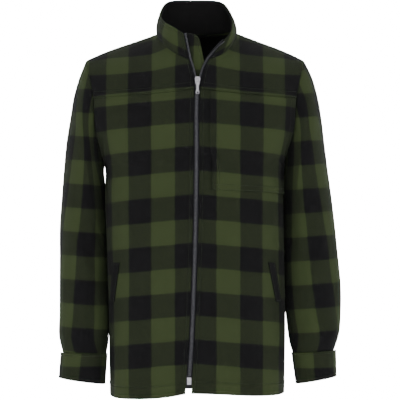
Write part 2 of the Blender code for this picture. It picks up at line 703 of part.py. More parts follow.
def from_height(line, z):
    """The part of an edge line above a height."""
    points = line[0]
    keep = points[:, 2] > z + 1e-4
    first = [np.array([np.interp(z, points[:, 2], part[:, i]) for i in range(3)]) for part in line]
    return [np.concatenate([[start], part[keep]]) for start, part in zip(first, line)]


def strip(name, line, start, end, front, back, finish):
    """A flat strip along an edge line, between two distances towards the zip and two depths."""
    points, towards, facing = line
    start, end = np.broadcast_to(start, len(points)), np.broadcast_to(end, len(points))
    grid = np.stack([points + towards * start[:, None], points + towards * end[:, None]], axis=1)
    facing = facing[:, None]
    shell(name, grid - facing * front, grid - facing * back, finish)


def guard(line):
    """The zip guard: a flap behind the zip, fixed to the right front, with a rounded top corner. It runs
    straight across behind the zip."""
    points = line[0]
    line = [points, np.tile((1.0, 0.0, 0.0), (len(points), 1)), np.tile((0.0, -1.0, 0.0), (len(points), 1))]
    below = (points[-1, 2] - points[:, 2]) / GUARD_CORNER
    corner = np.sqrt(np.clip(1 - (1 - np.clip(below, 0, 1)) ** 2, 0, 1))
    reach = GUARD_REACH - GUARD_CORNER * (1 - corner)
    strip("zip_guard", line, GUARD_START, reach, GUARD_FRONT, GUARD_BACK, "wool")


def seated(points, origin, tilt):
    """Points of the slider's own frame, leaned back with the cloth and set on the zip."""
    points = np.asarray(points, float)
    cos, sin = np.cos(tilt), np.sin(tilt)
    y = points[:, 1] * cos - points[:, 2] * sin
    z = points[:, 1] * sin + points[:, 2] * cos
    return np.stack([points[:, 0], y, z], axis=1) + origin


def prism(outline, low, high, axis):
    """Points and faces of an outline carried between two places along an axis (0 for X, 1 for Y)."""
    count = len(outline)
    points = [np.insert(point, axis, at) for at in (low, high) for point in outline]
    faces = [tuple(range(count - 1, -1, -1)), tuple(range(count, 2 * count))]
    faces += [(i, (i + 1) % count, (i + 1) % count + count, i + count) for i in range(count)]
    return np.array(points), faces


def joined(target, tool, operation):
    """One solid from two, with the second taken away as an object."""
    change = target.modifiers.new(tool.name, "BOOLEAN")
    change.operation = operation
    change.object = tool
    change.solver = "EXACT"
    tool.hide_render = True
    tool.display_type = "WIRE"


def make_slider(origin, tilt):
    """The slider: a plate in front of the teeth, wider at its top, and the loop that holds the pull tab."""
    top, foot, half = SLIDER_TOP_WIDTH / 2, SLIDER_FOOT_WIDTH / 2, SLIDER_LENGTH / 2
    plate = [(-foot, -half), (foot, -half), (top, half * 0.4), (top * 0.8, half), (-top * 0.8, half)]
    plate.append((-top, half * 0.4))
    points, faces = prism(np.array(plate), SLIDER_FACE[0], SLIDER_FACE[1], 1)
    body = make_object("zip_slider", seated(points, origin, tilt), faces, "metal", flat=True)
    high, inner_high, inner_low, low = LOOP_HEIGHTS
    root = SLIDER_FACE[0] + 0.0008
    profile = [(root, high), (root, inner_high), (LOOP_INNER, inner_high), (LOOP_INNER, inner_low)]
    profile += [(root, inner_low), (root, low), (LOOP_OUTER + 0.0008, low), (LOOP_OUTER, inner_low)]
    profile += [(LOOP_OUTER, inner_high), (LOOP_OUTER + 0.0008, high)]
    points, faces = prism(np.array(profile), -LOOP_HALF_WIDTH, LOOP_HALF_WIDTH, 0)
    loop = make_object("slider_loop", seated(points, origin, tilt), faces, "metal", flat=True)
    joined(body, loop, "UNION")


def make_pull(origin, tilt):
    """The pull tab: a waisted plate with a slot at its pin and a window near its foot. Its origin is
    on the pin, which is the hinge."""
    rows = np.array(PULL_ROWS)
    outline = [(-half, -below) for below, half in rows] + [(half, -below) for below, half in rows[::-1]]
    front, back = -PULL_HALF_THICKNESS, PULL_HALF_THICKNESS
    pin = seated([(0.0, PIN_Y, PIN_Z)], origin, tilt)[0]

    def part(name, shape, reach):
        points, faces = prism(np.array(shape), front - reach, back + reach, 1)
        made = make_object(name, seated(points, np.zeros(3), tilt), faces, "metal", flat=True)
        made.location = pin
        return made

    def opening(half, start, end):
        return [(-half, -end), (half, -end), (half, -start), (-half, -start)]

    tab = part("pull_tab", outline, 0.0)
    slot = part("pull_slot", opening(PULL_INNER_HALF, *PULL_SLOT), 0.001)
    window = part("pull_window", opening(PULL_WINDOW_HALF, *PULL_WINDOW), 0.001)
    joined(tab, slot, "DIFFERENCE")
    joined(tab, window, "DIFFERENCE")


def make_pocket(panel):
    """The chest pocket: a patch on the left front, from beside the zip to the armhole, on the panel's own
    rows and columns between its edges."""
    start, foot = place(panel, POCKET_SIDE_X, POCKET_FOOT_Z)
    up = between(foot, POCKET_TOP_SHARE, panel.shape[0])[:, None]
    grid = sample(panel, between(start, POCKET_OUTER_SHARE, panel.shape[1])[None, :], up)
    wall("chest_pocket", grid, normals(grid, from_axis(grid)), "wool", PATCH_WALL, LAYER_GAP + PATCH_WALL)


def make_welt(name, panel, row, side):
    """The welt of a slanted hand pocket, on the side seam's side of its opening."""
    top_x, top_z, foot_x, foot_z, width = row
    top, foot = place(panel, top_x, top_z), place(panel, foot_x, foot_z)
    reach = abs(place(panel, top_x + side * width, top_z)[0] - top[0])
    share = np.linspace(0, 1, WELT_STEPS + 1)[:, None]
    up = foot[1] + (top[1] - foot[1]) * share
    across = foot[0] + (top[0] - foot[0]) * share + reach * np.linspace(0, 1, 3)[None, :]
    grid = sample(panel, across, up)
    wall(name, grid, normals(grid, from_axis(grid)), "dark_wool", PATCH_WALL, LAYER_GAP + PATCH_WALL)


def make_body(rings, neck):
    """The grids of the fronts, yokes, back, sleeves and collar, by name, with shared normals at seams."""
    cloths = {}
    for side, word, rows, folds in (
        (-1, "right", SLEEVE_RIGHT_ROWS, SLEEVE_RIGHT_FOLDS),
        (1, "left", SLEEVE_LEFT_ROWS, SLEEVE_LEFT_FOLDS),
    ):
        panel = front_panel(side, rings[side])
        stretch = neck[0] if side < 0 else neck[2][::-1]
        yoke = front_yoke(side, panel[-1], stretch[:, :3], rings[side])
        sleeve = sleeve_grid(rows, side, rings[side], folds)
        cloths[f"front_{word}"] = (panel, normals(panel, from_axis(panel)), False)
        cloths[f"yoke_{word}"] = (yoke, normals(yoke, YOKE_FRONT_OUT), False)
        outward = sleeve - sleeve.mean(axis=1, keepdims=True)
        cloths[f"sleeve_{word}"] = (sleeve, normals(sleeve, outward, True), True)
    back = back_panel(rings)
    behind = back_yoke(back[-1], neck[1][:, :3], rings)
    cloths["back"] = (back, normals(back, from_axis(back)), False)
    cloths["yoke_back"] = (behind, normals(behind, YOKE_BACK_OUT), False)
    collar = collar_grid(neck)
    cloths["collar"] = (collar, normals(collar, from_axis(collar)), False)
    sewn(cloths.values())
    return cloths


def make_cloth(cloths):
    """The walls of the sewn pieces, each trimmed back by half the seam gap where it meets another."""
    half = SEAM_GAP / 2
    seams = {
        "front": {"right": SEAM_GAP, "top": half},
        "yoke": {"right": half, "foot": half, "top": half * 1.6},
        "back": {"left": half, "right": half, "top": half},
        "yoke_back": {"left": half, "right": half, "foot": half, "top": half},
        "sleeve": {"foot": SEAM_GAP},
        "collar": {"foot": SEAM_GAP * 1.6},
    }
    for name, (grid, facing, closed) in cloths.items():
        edges = seams.get(name) or seams[name.split("_")[0]]
        wall(name, trimmed(grid, **edges), facing, "wool", closed=closed)


def make_lining(name, cloth):
    """A lining inside a piece, clear of its inner face, on the piece's own rows and columns but for its
    outermost columns."""
    grid, facing, _ = cloth
    rows, columns = grid.shape[:2]
    shares = np.linspace(0, 1, columns)[None, 1:-1]
    up = np.linspace(0, 1, rows)[:, None]
    up[0], up[-1] = LINING_EDGE, 1 - LINING_EDGE
    inner = sample(grid, shares, up)
    wall(name, inner, unit(sample(facing, shares, up)), "lining", LINING_WALL, out=-(WALL + LINING_GAP))


def make_zip(cloths):
    """The zip's tapes, rows of teeth, guard, foot box, slider and pull tab."""
    for side, word in ((-1, "right"), (1, "left")):
        panel, yoke, collar = cloths[f"front_{word}"][0], cloths[f"yoke_{word}"][0], cloths["collar"][0]
        line = edge_line(panel, yoke, collar, side)
        tape = from_height(line, TAPE_FOOT)
        strip(f"zip_tape_{word}", tape, *TAPE.values(), "tape")
        strip(f"zip_teeth_{word}", from_height(line, TEETH_FOOT), *TEETH.values(), "teeth")
        if side < 0:
            guard(from_height(line, GUARD_FOOT))
    foot = front_point(table(ZIP_ROWS, np.array([BOX_HEIGHT_AT]))[0][0], BOX_HEIGHT_AT)
    half = np.array(BOX_SIZE) / 2
    outline = [(-half[0], -half[2]), (half[0], -half[2]), (half[0], half[2]), (-half[0], half[2])]
    points, faces = prism(np.array(outline), BOX_FACE, BOX_FACE + BOX_SIZE[1], 1)
    make_object("zip_box", points + foot, faces, "metal", flat=True)
    at = front_point(table(ZIP_ROWS, np.array([SLIDER_HEIGHT_AT]))[0][0], SLIDER_HEIGHT_AT)
    at[1] -= SLIDER_PROUD
    above, below = front_point(at[0], at[2] + 0.01), front_point(at[0], at[2] - 0.01)
    tilt = np.arctan2(above[1] - below[1], above[2] - below[2])
    make_slider(at, -tilt)
    make_pull(at, -tilt)


def main():
    """Clear the scene, then make every piece."""
    for old in list(bpy.data.objects):
        bpy.data.objects.remove(old, do_unlink=True)
    cloths = make_body({-1: armhole(-1), 1: armhole(1)}, neck_lines())
    make_cloth(cloths)
    make_lining("back_lining", cloths["yoke_back"])
    make_lining("collar_lining", cloths["collar"])
    make_zip(cloths)
    make_pocket(cloths["front_left"][0])
    make_welt("welt_right", cloths["front_right"][0], WELT_RIGHT, -1)
    make_welt("welt_left", cloths["front_left"][0], WELT_LEFT, 1)
    cuff("cuff_right", SLEEVE_RIGHT_ROWS[-1], CUFF_RIGHT_FOOT, -1)
    cuff("cuff_left", SLEEVE_LEFT_ROWS[-1], CUFF_LEFT_FOOT, 1)


main()
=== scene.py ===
"""The looks of a zip-front wool jacket with a stand collar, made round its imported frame.

Metres, +Z up, the front faces -Y, and the wearer's right side is at -X. Every cloth piece is a thin closed
shell worked out on the same forms as its solid, with finer rows, soft creases, rolled edges and stitching.
Its UV map, "weave", is its place on the flat cloth in metres, so the check, twill and nap follow the cut.
"""

import logging
from dataclasses import dataclass, field
from enum import Enum

import bpy
import numpy as np
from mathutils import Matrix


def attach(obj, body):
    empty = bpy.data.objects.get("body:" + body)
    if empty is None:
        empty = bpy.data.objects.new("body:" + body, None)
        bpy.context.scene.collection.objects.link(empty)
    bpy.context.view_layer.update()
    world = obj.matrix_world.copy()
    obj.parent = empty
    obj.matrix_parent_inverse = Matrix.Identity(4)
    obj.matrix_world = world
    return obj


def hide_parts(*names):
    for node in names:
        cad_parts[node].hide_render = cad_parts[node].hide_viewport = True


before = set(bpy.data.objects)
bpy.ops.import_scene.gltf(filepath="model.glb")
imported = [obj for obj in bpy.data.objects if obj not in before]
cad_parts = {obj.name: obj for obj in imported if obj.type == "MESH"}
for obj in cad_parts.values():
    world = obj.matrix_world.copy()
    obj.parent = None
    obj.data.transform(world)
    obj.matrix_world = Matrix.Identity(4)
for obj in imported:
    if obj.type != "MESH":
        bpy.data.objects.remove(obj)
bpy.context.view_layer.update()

Array = np.ndarray
Rows = tuple[tuple[float, ...], ...]
log = logging.getLogger("jacket")

FINE = 5
ARMHOLE_POINTS = 24 * FINE
UNDERARM_STEP = ARMHOLE_POINTS // 2
YOKE_STEP = 5 * FINE
FRONT_COLUMNS = 12 * FINE
SIDE_ROWS = 12 * FINE
NECK_STEPS = 5 * FINE
RIDGE_STEPS = FRONT_COLUMNS - NECK_STEPS
BACK_NECK_STEPS = 10 * FINE
COLLAR_ROWS = 4 * FINE
SLEEVE_RINGS = 17 * FINE
WALL = 0.0026
SEAM_GAP = 0.0005
LAYER_GAP = 0.0006
LINING_GAP = 0.0008
CHECK_ACROSS = 0.0975
CHECK_DOWN = 0.0984
FRONT_MIDDLE = 0.0007
COLUMN_START = 0.0065
ROW_START = -0.1367
ROW_SLOPE = 0.09
YOKE_ROW_SHIFT = 0.0248
HEM_ROW_FROM = 0.551
HEM_ROW_SHARE = 0.7
NARROWEST_CUT = 0.0125


class Side(Enum):
    """The wearer's sides, with the sign of X on each."""

    RIGHT = -1
    LEFT = 1

    @property
    def word(self) -> str:
        """The side's name as the pieces use it."""
        return self.name.lower()


class Held(Enum):
    """How a sheet of cloth is held."""

    HUNG = "hung"
    LAID = "laid"
    STRETCHED = "stretched"


def unit(vectors: Array) -> Array:
    """The same directions with length one."""
    return vectors / np.maximum(np.linalg.norm(vectors, axis=-1, keepdims=True), 1e-12)


def smooth(places: Array, values: Array, at: Array) -> Array:
    """Reads a smooth curve through given values: cubic pieces whose slope at each place is its neighbours'.

    Args:
        places: Where the values are given, rising.
        values: One row of values for each place.
        at: Where to read the curve.

    Returns:
        One row for each place read.
    """
    places = np.asarray(places, float)
    values = np.asarray(values, float).reshape(len(places), -1)
    at = np.clip(np.asarray(at, float), places[0], places[-1])
    slopes = np.gradient(values, places, axis=0)
    i = np.clip(np.searchsorted(places, at) - 1, 0, len(places) - 2)
    span = (places[i + 1] - places[i])[..., None]
    t = (at - places[i])[..., None] / span
    start = (1 + 2 * t) * (1 - t) ** 2 * values[i] + t * (1 - t) ** 2 * span * slopes[i]
    return start + t**2 * (3 - 2 * t) * values[i + 1] + t**2 * (t - 1) * span * slopes[i + 1]


def table(rows: Rows, at: Array) -> Array:
    """The columns of a table after its first, read smoothly at other values of the first."""
    ordered = np.array(sorted(rows))
    return smooth(ordered[:, 0], ordered[:, 1:], at)


def lengths(points: Array) -> Array:
    """Distance along a line of points, from 0 at its first point."""
    return np.concatenate([[0.0], np.cumsum(np.linalg.norm(np.diff(points, axis=0), axis=1))])


def reach(points: Array, axis: int) -> Array:
    """Distance over a grid from its first row or column, along the axis given."""
    steps = np.linalg.norm(np.diff(points, axis=axis), axis=-1)
    pad = [(0, 0), (0, 0)]
    pad[axis] = (1, 0)
    return np.pad(np.cumsum(steps, axis=axis), pad)


def even(points: Array, steps: int) -> Array:
    """The same line in equal steps."""
    along = lengths(points)
    at = np.linspace(0, along[-1], steps + 1)
    return np.stack([np.interp(at, along, column) for column in points.T], axis=1)


def normals(grid: Array, outward: Array, closed: bool = False) -> Array:
    """Unit normals of a grid, the cross product of its two slopes, on the side that outward points to."""
    if closed:
        around = np.roll(grid, -1, axis=1) - np.roll(grid, 1, axis=1)
    else:
        around = np.gradient(grid, axis=1)
    found = unit(np.cross(around, np.gradient(grid, axis=0)))
    return found * np.sign(np.sum(found * outward, axis=-1).sum())


def from_axis(grid: Array) -> Array:
    """Rough outward directions of a piece round the body."""
    return grid * np.array([1.0, 1.0, 0.0]) + np.array([0.0, 0.0, 1e-6])


def read_lines(values: Array, places: Array, axis: int) -> Array:
    """Rows or columns of a grid read between its own by straight lines.

    Args:
        values: The grid.
        places: Row or column numbers, which may lie between whole ones.
        axis: 0 for rows, 1 for columns.

    Returns:
        The grid on those lines.
    """
    low = np.clip(np.floor(places).astype(int), 0, values.shape[axis] - 2)
    share = (places - low).reshape([-1 if a == axis else 1 for a in range(values.ndim)])
    return np.take(values, low, axis) * (1 - share) + np.take(values, low + 1, axis) * share


def sample(grid: Array, across: Array, up: Array) -> Array:
    """Points of a grid at shares across and up it, read by straight lines between its own."""
    rows, columns = grid.shape[0] - 1, grid.shape[1] - 1
    across, up = np.broadcast_arrays(np.asarray(across, float), np.asarray(up, float))
    i = np.clip((up * rows).astype(int), 0, rows - 1)
    j = np.clip((across * columns).astype(int), 0, columns - 1)
    s, t = (up * rows - i)[..., None], (across * columns - j)[..., None]
    low = (1 - t) * grid[i, j] + t * grid[i, j + 1]
    high = (1 - t) * grid[i + 1, j] + t * grid[i + 1, j + 1]
    return (1 - s) * low + s * high


def place(grid: Array, x: float, z: float) -> tuple[float, float]:
    """The shares across and up a grid at which it lies nearest to a place seen from the front."""
    across, up = np.meshgrid(np.linspace(0, 1, 241), np.linspace(0, 1, 241))
    found = sample(grid, across, up)
    nearest = np.argmin((found[..., 0] - x) ** 2 + (found[..., 2] - z) ** 2)
    return float(across.flat[nearest]), float(up.flat[nearest])


def coons(foot: Array, top: Array, left: Array, right: Array) -> Array:
    """A patch between four lines that meet at its corners: the two ruled patches less the corners' plane."""
    u = np.linspace(0, 1, len(foot))[None, :, None]
    v = np.linspace(0, 1, len(left))[:, None, None]
    between = (1 - v) * foot[None] + v * top[None] + (1 - u) * left[:, None] + u * right[:, None]
    corners = (1 - u) * ((1 - v) * foot[0] + v * top[0]) + u * ((1 - v) * foot[-1] + v * top[-1])
    return between - corners


def crowned(grid: Array, crown: float, outward: Array) -> Array:
    """A patch smoothed inside, then raised along its normals by crown times the sine bumps of its shares."""
    for _ in range(3 * FINE * FINE):
        around = grid[:-2, 1:-1] + grid[2:, 1:-1] + grid[1:-1, :-2] + grid[1:-1, 2:]
        grid[1:-1, 1:-1] = 0.5 * grid[1:-1, 1:-1] + 0.125 * around
    u = np.linspace(0, 1, grid.shape[1])[None, :, None]
    v = np.linspace(0, 1, grid.shape[0])[:, None, None]
    return grid + normals(grid, outward) * crown * np.sin(np.pi * u) * np.sin(np.pi * v)


@dataclass(frozen=True)
class EdgeProfile:
    """How a wall is shaped beside one of its edges, by the distance in from that edge."""

    roll: float = 0.0
    valley: float = 0.0
    valley_width: float = 0.0018
    ridges: Rows = ()
    stitches: tuple[float, ...] = ()

    def lines(self) -> list[float]:
        """Distances from the edge at which the grid needs lines of its own."""
        found = [self.roll * s for s in (0.12, 0.4, 1.0, 1.8)] if self.roll else [0.0006, 0.0018, 0.0034]
        for distance, _, width in self.ridges:
            found += [distance + width * s for s in (-1.8, -1.1, -0.5, 0.0, 0.5, 1.1, 1.8)]
        return [distance for distance in found if distance > 0.0002]

    def rolled(self, distance: Array) -> Array:
        """How far each face curves in towards the middle of the wall: a quarter circle at the edge."""
        if not self.roll:
            return np.zeros_like(distance)
        short = np.clip(self.roll - distance, 0, self.roll)
        return 0.88 * (self.roll - np.sqrt(self.roll**2 - short**2))

    def relief(self, distance: Array) -> Array:
        """Height of the outer face: a valley that fades out from a seam, and bell-shaped ridges or grooves."""
        height = -self.valley * np.exp(-distance / self.valley_width)
        for at, tall, width in self.ridges:
            height = height + tall * np.exp(-(((distance - at) / width) ** 2))
        return height


PLAIN = EdgeProfile()
SEAM = EdgeProfile(valley=0.0012)
FREE = EdgeProfile(roll=0.0013)
HEM = EdgeProfile(
    roll=0.0013, ridges=((0.0250, -0.0009, 0.0014), (0.0215, 0.0005, 0.0026)), stitches=(0.0250,)
)
ZIP_EDGE = EdgeProfile(
    roll=0.0013, ridges=((0.0070, -0.0006, 0.0012), (0.0040, 0.0005, 0.0022)), stitches=(0.0070,)
)
YOKE_SEAM = EdgeProfile(
    valley=0.0012,
    ridges=((0.0032, 0.0007, 0.0022), (0.0112, 0.0007, 0.0022), (0.0142, -0.0008, 0.0012)),
    stitches=(0.0030, 0.0142),
)
YOKE_SEAM_BELOW = EdgeProfile(valley=0.0016, valley_width=0.0030)
RIM = EdgeProfile(
    roll=0.0013, ridges=((0.0062, -0.0006, 0.0012), (0.0035, 0.0004, 0.0020)), stitches=(0.0062,)
)
PATCH_EDGE = EdgeProfile(
    roll=0.0009, ridges=((0.0018, 0.0004, 0.0014), (0.0115, -0.0006, 0.0012)), stitches=(0.0020, 0.0115)
)
POCKET_MOUTH = EdgeProfile(
    roll=0.0009, ridges=((0.0110, 0.0007, 0.0022), (0.0142, -0.0007, 0.0012)), stitches=(0.0142,)
)
BAND = EdgeProfile(
    roll=0.0014, ridges=((0.0050, -0.0005, 0.0012), (0.0028, 0.0003, 0.0016)), stitches=(0.0050,)
)


@dataclass
class Cloth:
    """A sewn piece: a grid of outer points, its outward directions, and its place on the flat cloth.

    A closed piece's weave has one column more than its points, so that the check runs on across its seam.
    """

    points: Array
    facing: Array
    weave: Array
    closed: bool = False
    out: float = 0.0
    thickness: float = WALL
    foot: EdgeProfile = SEAM
    top: EdgeProfile = SEAM
    left: EdgeProfile = SEAM
    right: EdgeProfile = SEAM

    def trimmed(self, left: float = 0.0, right: float = 0.0, foot: float = 0.0, top: float = 0.0) -> None:
        """Moves the edge points in along the grid, so that sewn pieces stay clear of each other."""
        grid = self.points.copy()
        for edge, inner, amount in (
            (np.s_[:, 0], np.s_[:, 1], left),
            (np.s_[:, -1], np.s_[:, -2], right),
            (np.s_[0, :], np.s_[1, :], foot),
            (np.s_[-1, :], np.s_[-2, :], top),
        ):
            if amount:
                grid[edge] += unit(grid[inner] - grid[edge]) * amount
        self.points = grid

    def finer(self) -> "Cloth":
        """The same piece with extra lines beside its edges, where its profiles need them."""
        made = Cloth(**{**self.__dict__})
        for axis, first, last in ((0, self.foot, self.top), (1, self.left, self.right)):
            if axis and self.closed:
                continue
            along = reach(made.points, axis).mean(axis=1 - axis)
            numbers = np.arange(len(along), dtype=float)
            near = np.interp([d for d in first.lines() if d < along[-1] / 2], along, numbers)
            far = np.interp([along[-1] - d for d in last.lines() if d < along[-1] / 2], along, numbers)
            places = np.unique(np.round(np.concatenate([numbers, near, far]), 3))
            made.points = read_lines(made.points, places, axis)
            made.facing = unit(read_lines(made.facing, places, axis))
            made.weave = read_lines(made.weave, places, axis)
        return made

    def faces(self) -> tuple[Array, Array]:
        """Outer and inner points: the grid moved along its directions by its profiles and thickness."""
        inside, outside = np.zeros(self.points.shape[:2]), np.zeros(self.points.shape[:2])
        down, across = reach(self.points, 0), reach(self.points, 1)
        pairs = [(self.foot, down), (self.top, down[-1:] - down)]
        if not self.closed:
            pairs += [(self.left, across), (self.right, across[:, -1:] - across)]
        for profile, distance in pairs:
            rolled = profile.rolled(distance)
            inside = np.maximum(inside, rolled)
            outside = outside + profile.relief(distance)
        outer = self.out - inside + np.maximum(outside, -0.6 * self.thickness)
        inner = self.out - self.thickness + inside
        outer = np.maximum(outer, inner + 0.0002)
        return self.points + self.facing * outer[..., None], self.points + self.facing * inner[..., None]

    def line(self, edge: str, distance: float, inset: float = 0.0) -> tuple[Array, Array]:
        """A line over the outer face at a distance in from an edge, with the outward directions along it."""
        outer, _ = self.faces()
        axis = 0 if edge in ("foot", "top") else 1
        away = reach(self.points, axis)
        away = away.max(axis=axis, keepdims=True) - away if edge in ("top", "right") else away
        outer, facing, away = (a if axis == 0 else np.swapaxes(a, 0, 1) for a in (outer, self.facing, away))
        if edge in ("top", "right"):
            outer, facing, away = outer[::-1], facing[::-1], away[::-1]
        number = np.argmax(away >= distance, axis=0).clip(1)
        each = np.arange(away.shape[1])
        share = (distance - away[number - 1, each]) / (away[number, each] - away[number - 1, each])
        share = share[:, None]
        points = outer[number - 1, each] * (1 - share) + outer[number, each] * share
        sides = facing[number, each]
        along = lengths(points)
        keep = (along >= inset) & (along <= along[-1] - inset)
        return points[keep], sides[keep]


def sewn(cloths: list[Cloth]) -> None:
    """Gives edge points that pieces share one normal, the mean of theirs, except where cloth folds back."""
    borders = []
    for number, cloth in enumerate(cloths):
        rows, columns = cloth.points.shape[:2]
        i, j = np.meshgrid(np.arange(rows), np.arange(columns), indexing="ij")
        edge = (i == 0) | (i == rows - 1)
        if not cloth.closed:
            edge |= (j == 0) | (j == columns - 1)
        borders.append((number, i[edge], j[edge]))
    places = np.concatenate([cloths[n].points[i, j] for n, i, j in borders])
    sides = np.concatenate([cloths[n].facing[i, j] for n, i, j in borders])
    _, which = np.unique(np.round(places, 5), axis=0, return_inverse=True)
    which = which.ravel()
    total = np.zeros((which.max() + 1, 3))
    np.add.at(total, which, sides)
    count = np.bincount(which)
    mean = total / count[:, None]
    keep = (count < 3) | (np.linalg.norm(mean, axis=1) > 0.5)
    sides = np.where(keep[which][:, None], unit(mean)[which], sides)
    start = 0
    for number, i, j in borders:
        cloths[number].facing[i, j] = sides[start : start + len(i)]
        start += len(i)


def make_mesh(name: str, points: Array, faces: Array, weave: Array, finishes: list[bpy.types.Material]) -> bpy.types.Object:
    """Makes a mesh object with its faces turned outwards, by the sign of the volume inside them.

    Args:
        name: The piece's name.
        points: Its points, in metres.
        faces: Four point numbers for each face.
        weave: A place on the flat cloth for each corner of each face.
        finishes: Its materials; every face takes the first.

    Returns:
        The new object, at the origin.
    """
    centred = points - points.mean(axis=0)
    a, b, c, d = (centred[faces[:, k]] for k in range(4))
    volume = np.sum(a * np.cross(b, c)) + np.sum(a * np.cross(c, d))
    if volume < 0:
        faces, weave = faces[:, ::-1], weave[:, ::-1]
    mesh = bpy.data.meshes.new(name)
    mesh.from_pydata(points, [], faces.tolist())
    layer = mesh.uv_layers.new(name="weave")
    layer.data.foreach_set("uv", np.ascontiguousarray(weave, np.float32).ravel())
    mesh.shade_smooth()
    mesh.set_sharp_from_angle(angle=np.radians(55))
    for finish in finishes:
        mesh.materials.append(finish)
    made = bpy.data.objects.new(name, mesh)
    bpy.context.collection.objects.link(made)
    return made


def make_wall(name: str, cloth: Cloth, finish: bpy.types.Material) -> bpy.types.Object:
    """Makes a cloth piece as a closed shell: its outer grid, its inner grid and the rims between them."""
    outer, inner = cloth.faces()
    rows, columns = outer.shape[:2]
    count = rows * columns
    spans = columns if cloth.closed else columns - 1
    i, j = (a.ravel()[:, None] for a in np.meshgrid(np.arange(rows - 1), np.arange(spans), indexing="ij"))
    parts = [(i + np.array([0, 0, 1, 1]), j + np.array([0, 1, 1, 0]), np.zeros(4, int))]
    parts.append((parts[0][0][:, ::-1], parts[0][1][:, ::-1], np.ones(4, int)))
    j = np.arange(spans)[:, None]
    parts.append((np.zeros((spans, 4), int), j + np.array([1, 0, 0, 1]), np.array([0, 0, 1, 1])))
    parts.append((np.full((spans, 4), rows - 1), j + np.array([0, 1, 1, 0]), np.array([0, 0, 1, 1])))
    if not cloth.closed:
        i = np.arange(rows - 1)[:, None]
        side = np.zeros((rows - 1, 4), int)
        parts.append((i + np.array([0, 1, 1, 0]), side, np.array([0, 0, 1, 1])))
        parts.append((i + np.array([1, 0, 0, 1]), side + columns - 1, np.array([0, 0, 1, 1])))
    faces = np.concatenate([r * columns + c % columns + layer * count for r, c, layer in parts])
    weave = np.concatenate([cloth.weave[r, c] for r, c, _ in parts])
    points = np.concatenate([outer.reshape(-1, 3), inner.reshape(-1, 3)])
    return make_mesh(name, points, faces, weave, [finish])


def pressed(grid: Array, outward: Array, folds: Rows, free_foot: bool = False) -> Array:
    """A panel with soft creases: each row presses a bell-shaped trough (or, with a negative depth, a ridge).

    Args:
        grid: The panel's points.
        outward: Rough outward directions.
        folds: Rows of place across and up, half sizes across and up, depth, and lean, as shares of the panel.
        free_foot: Whether the creases run out over the foot edge.

    Returns:
        The creased grid; the creases fade out towards the sewn edges.
    """
    u = np.linspace(0, 1, grid.shape[1])[None, :]
    v = np.linspace(0, 1, grid.shape[0])[:, None]
    inside = np.minimum(np.minimum(u, 1 - u), 1 - v if free_foot else np.minimum(v, 1 - v)) / 0.10
    across, up, wide, tall, deep, lean = (column[:, None, None] for column in np.array(folds).T)
    off = (u[None] - across - lean * (v[None] - up)) / wide
    depth = np.sum(deep * np.exp(-(off**2) - ((v[None] - up) / tall) ** 2), axis=0)
    return grid - normals(grid, outward) * (depth * np.clip(inside, 0, 1))[..., None]


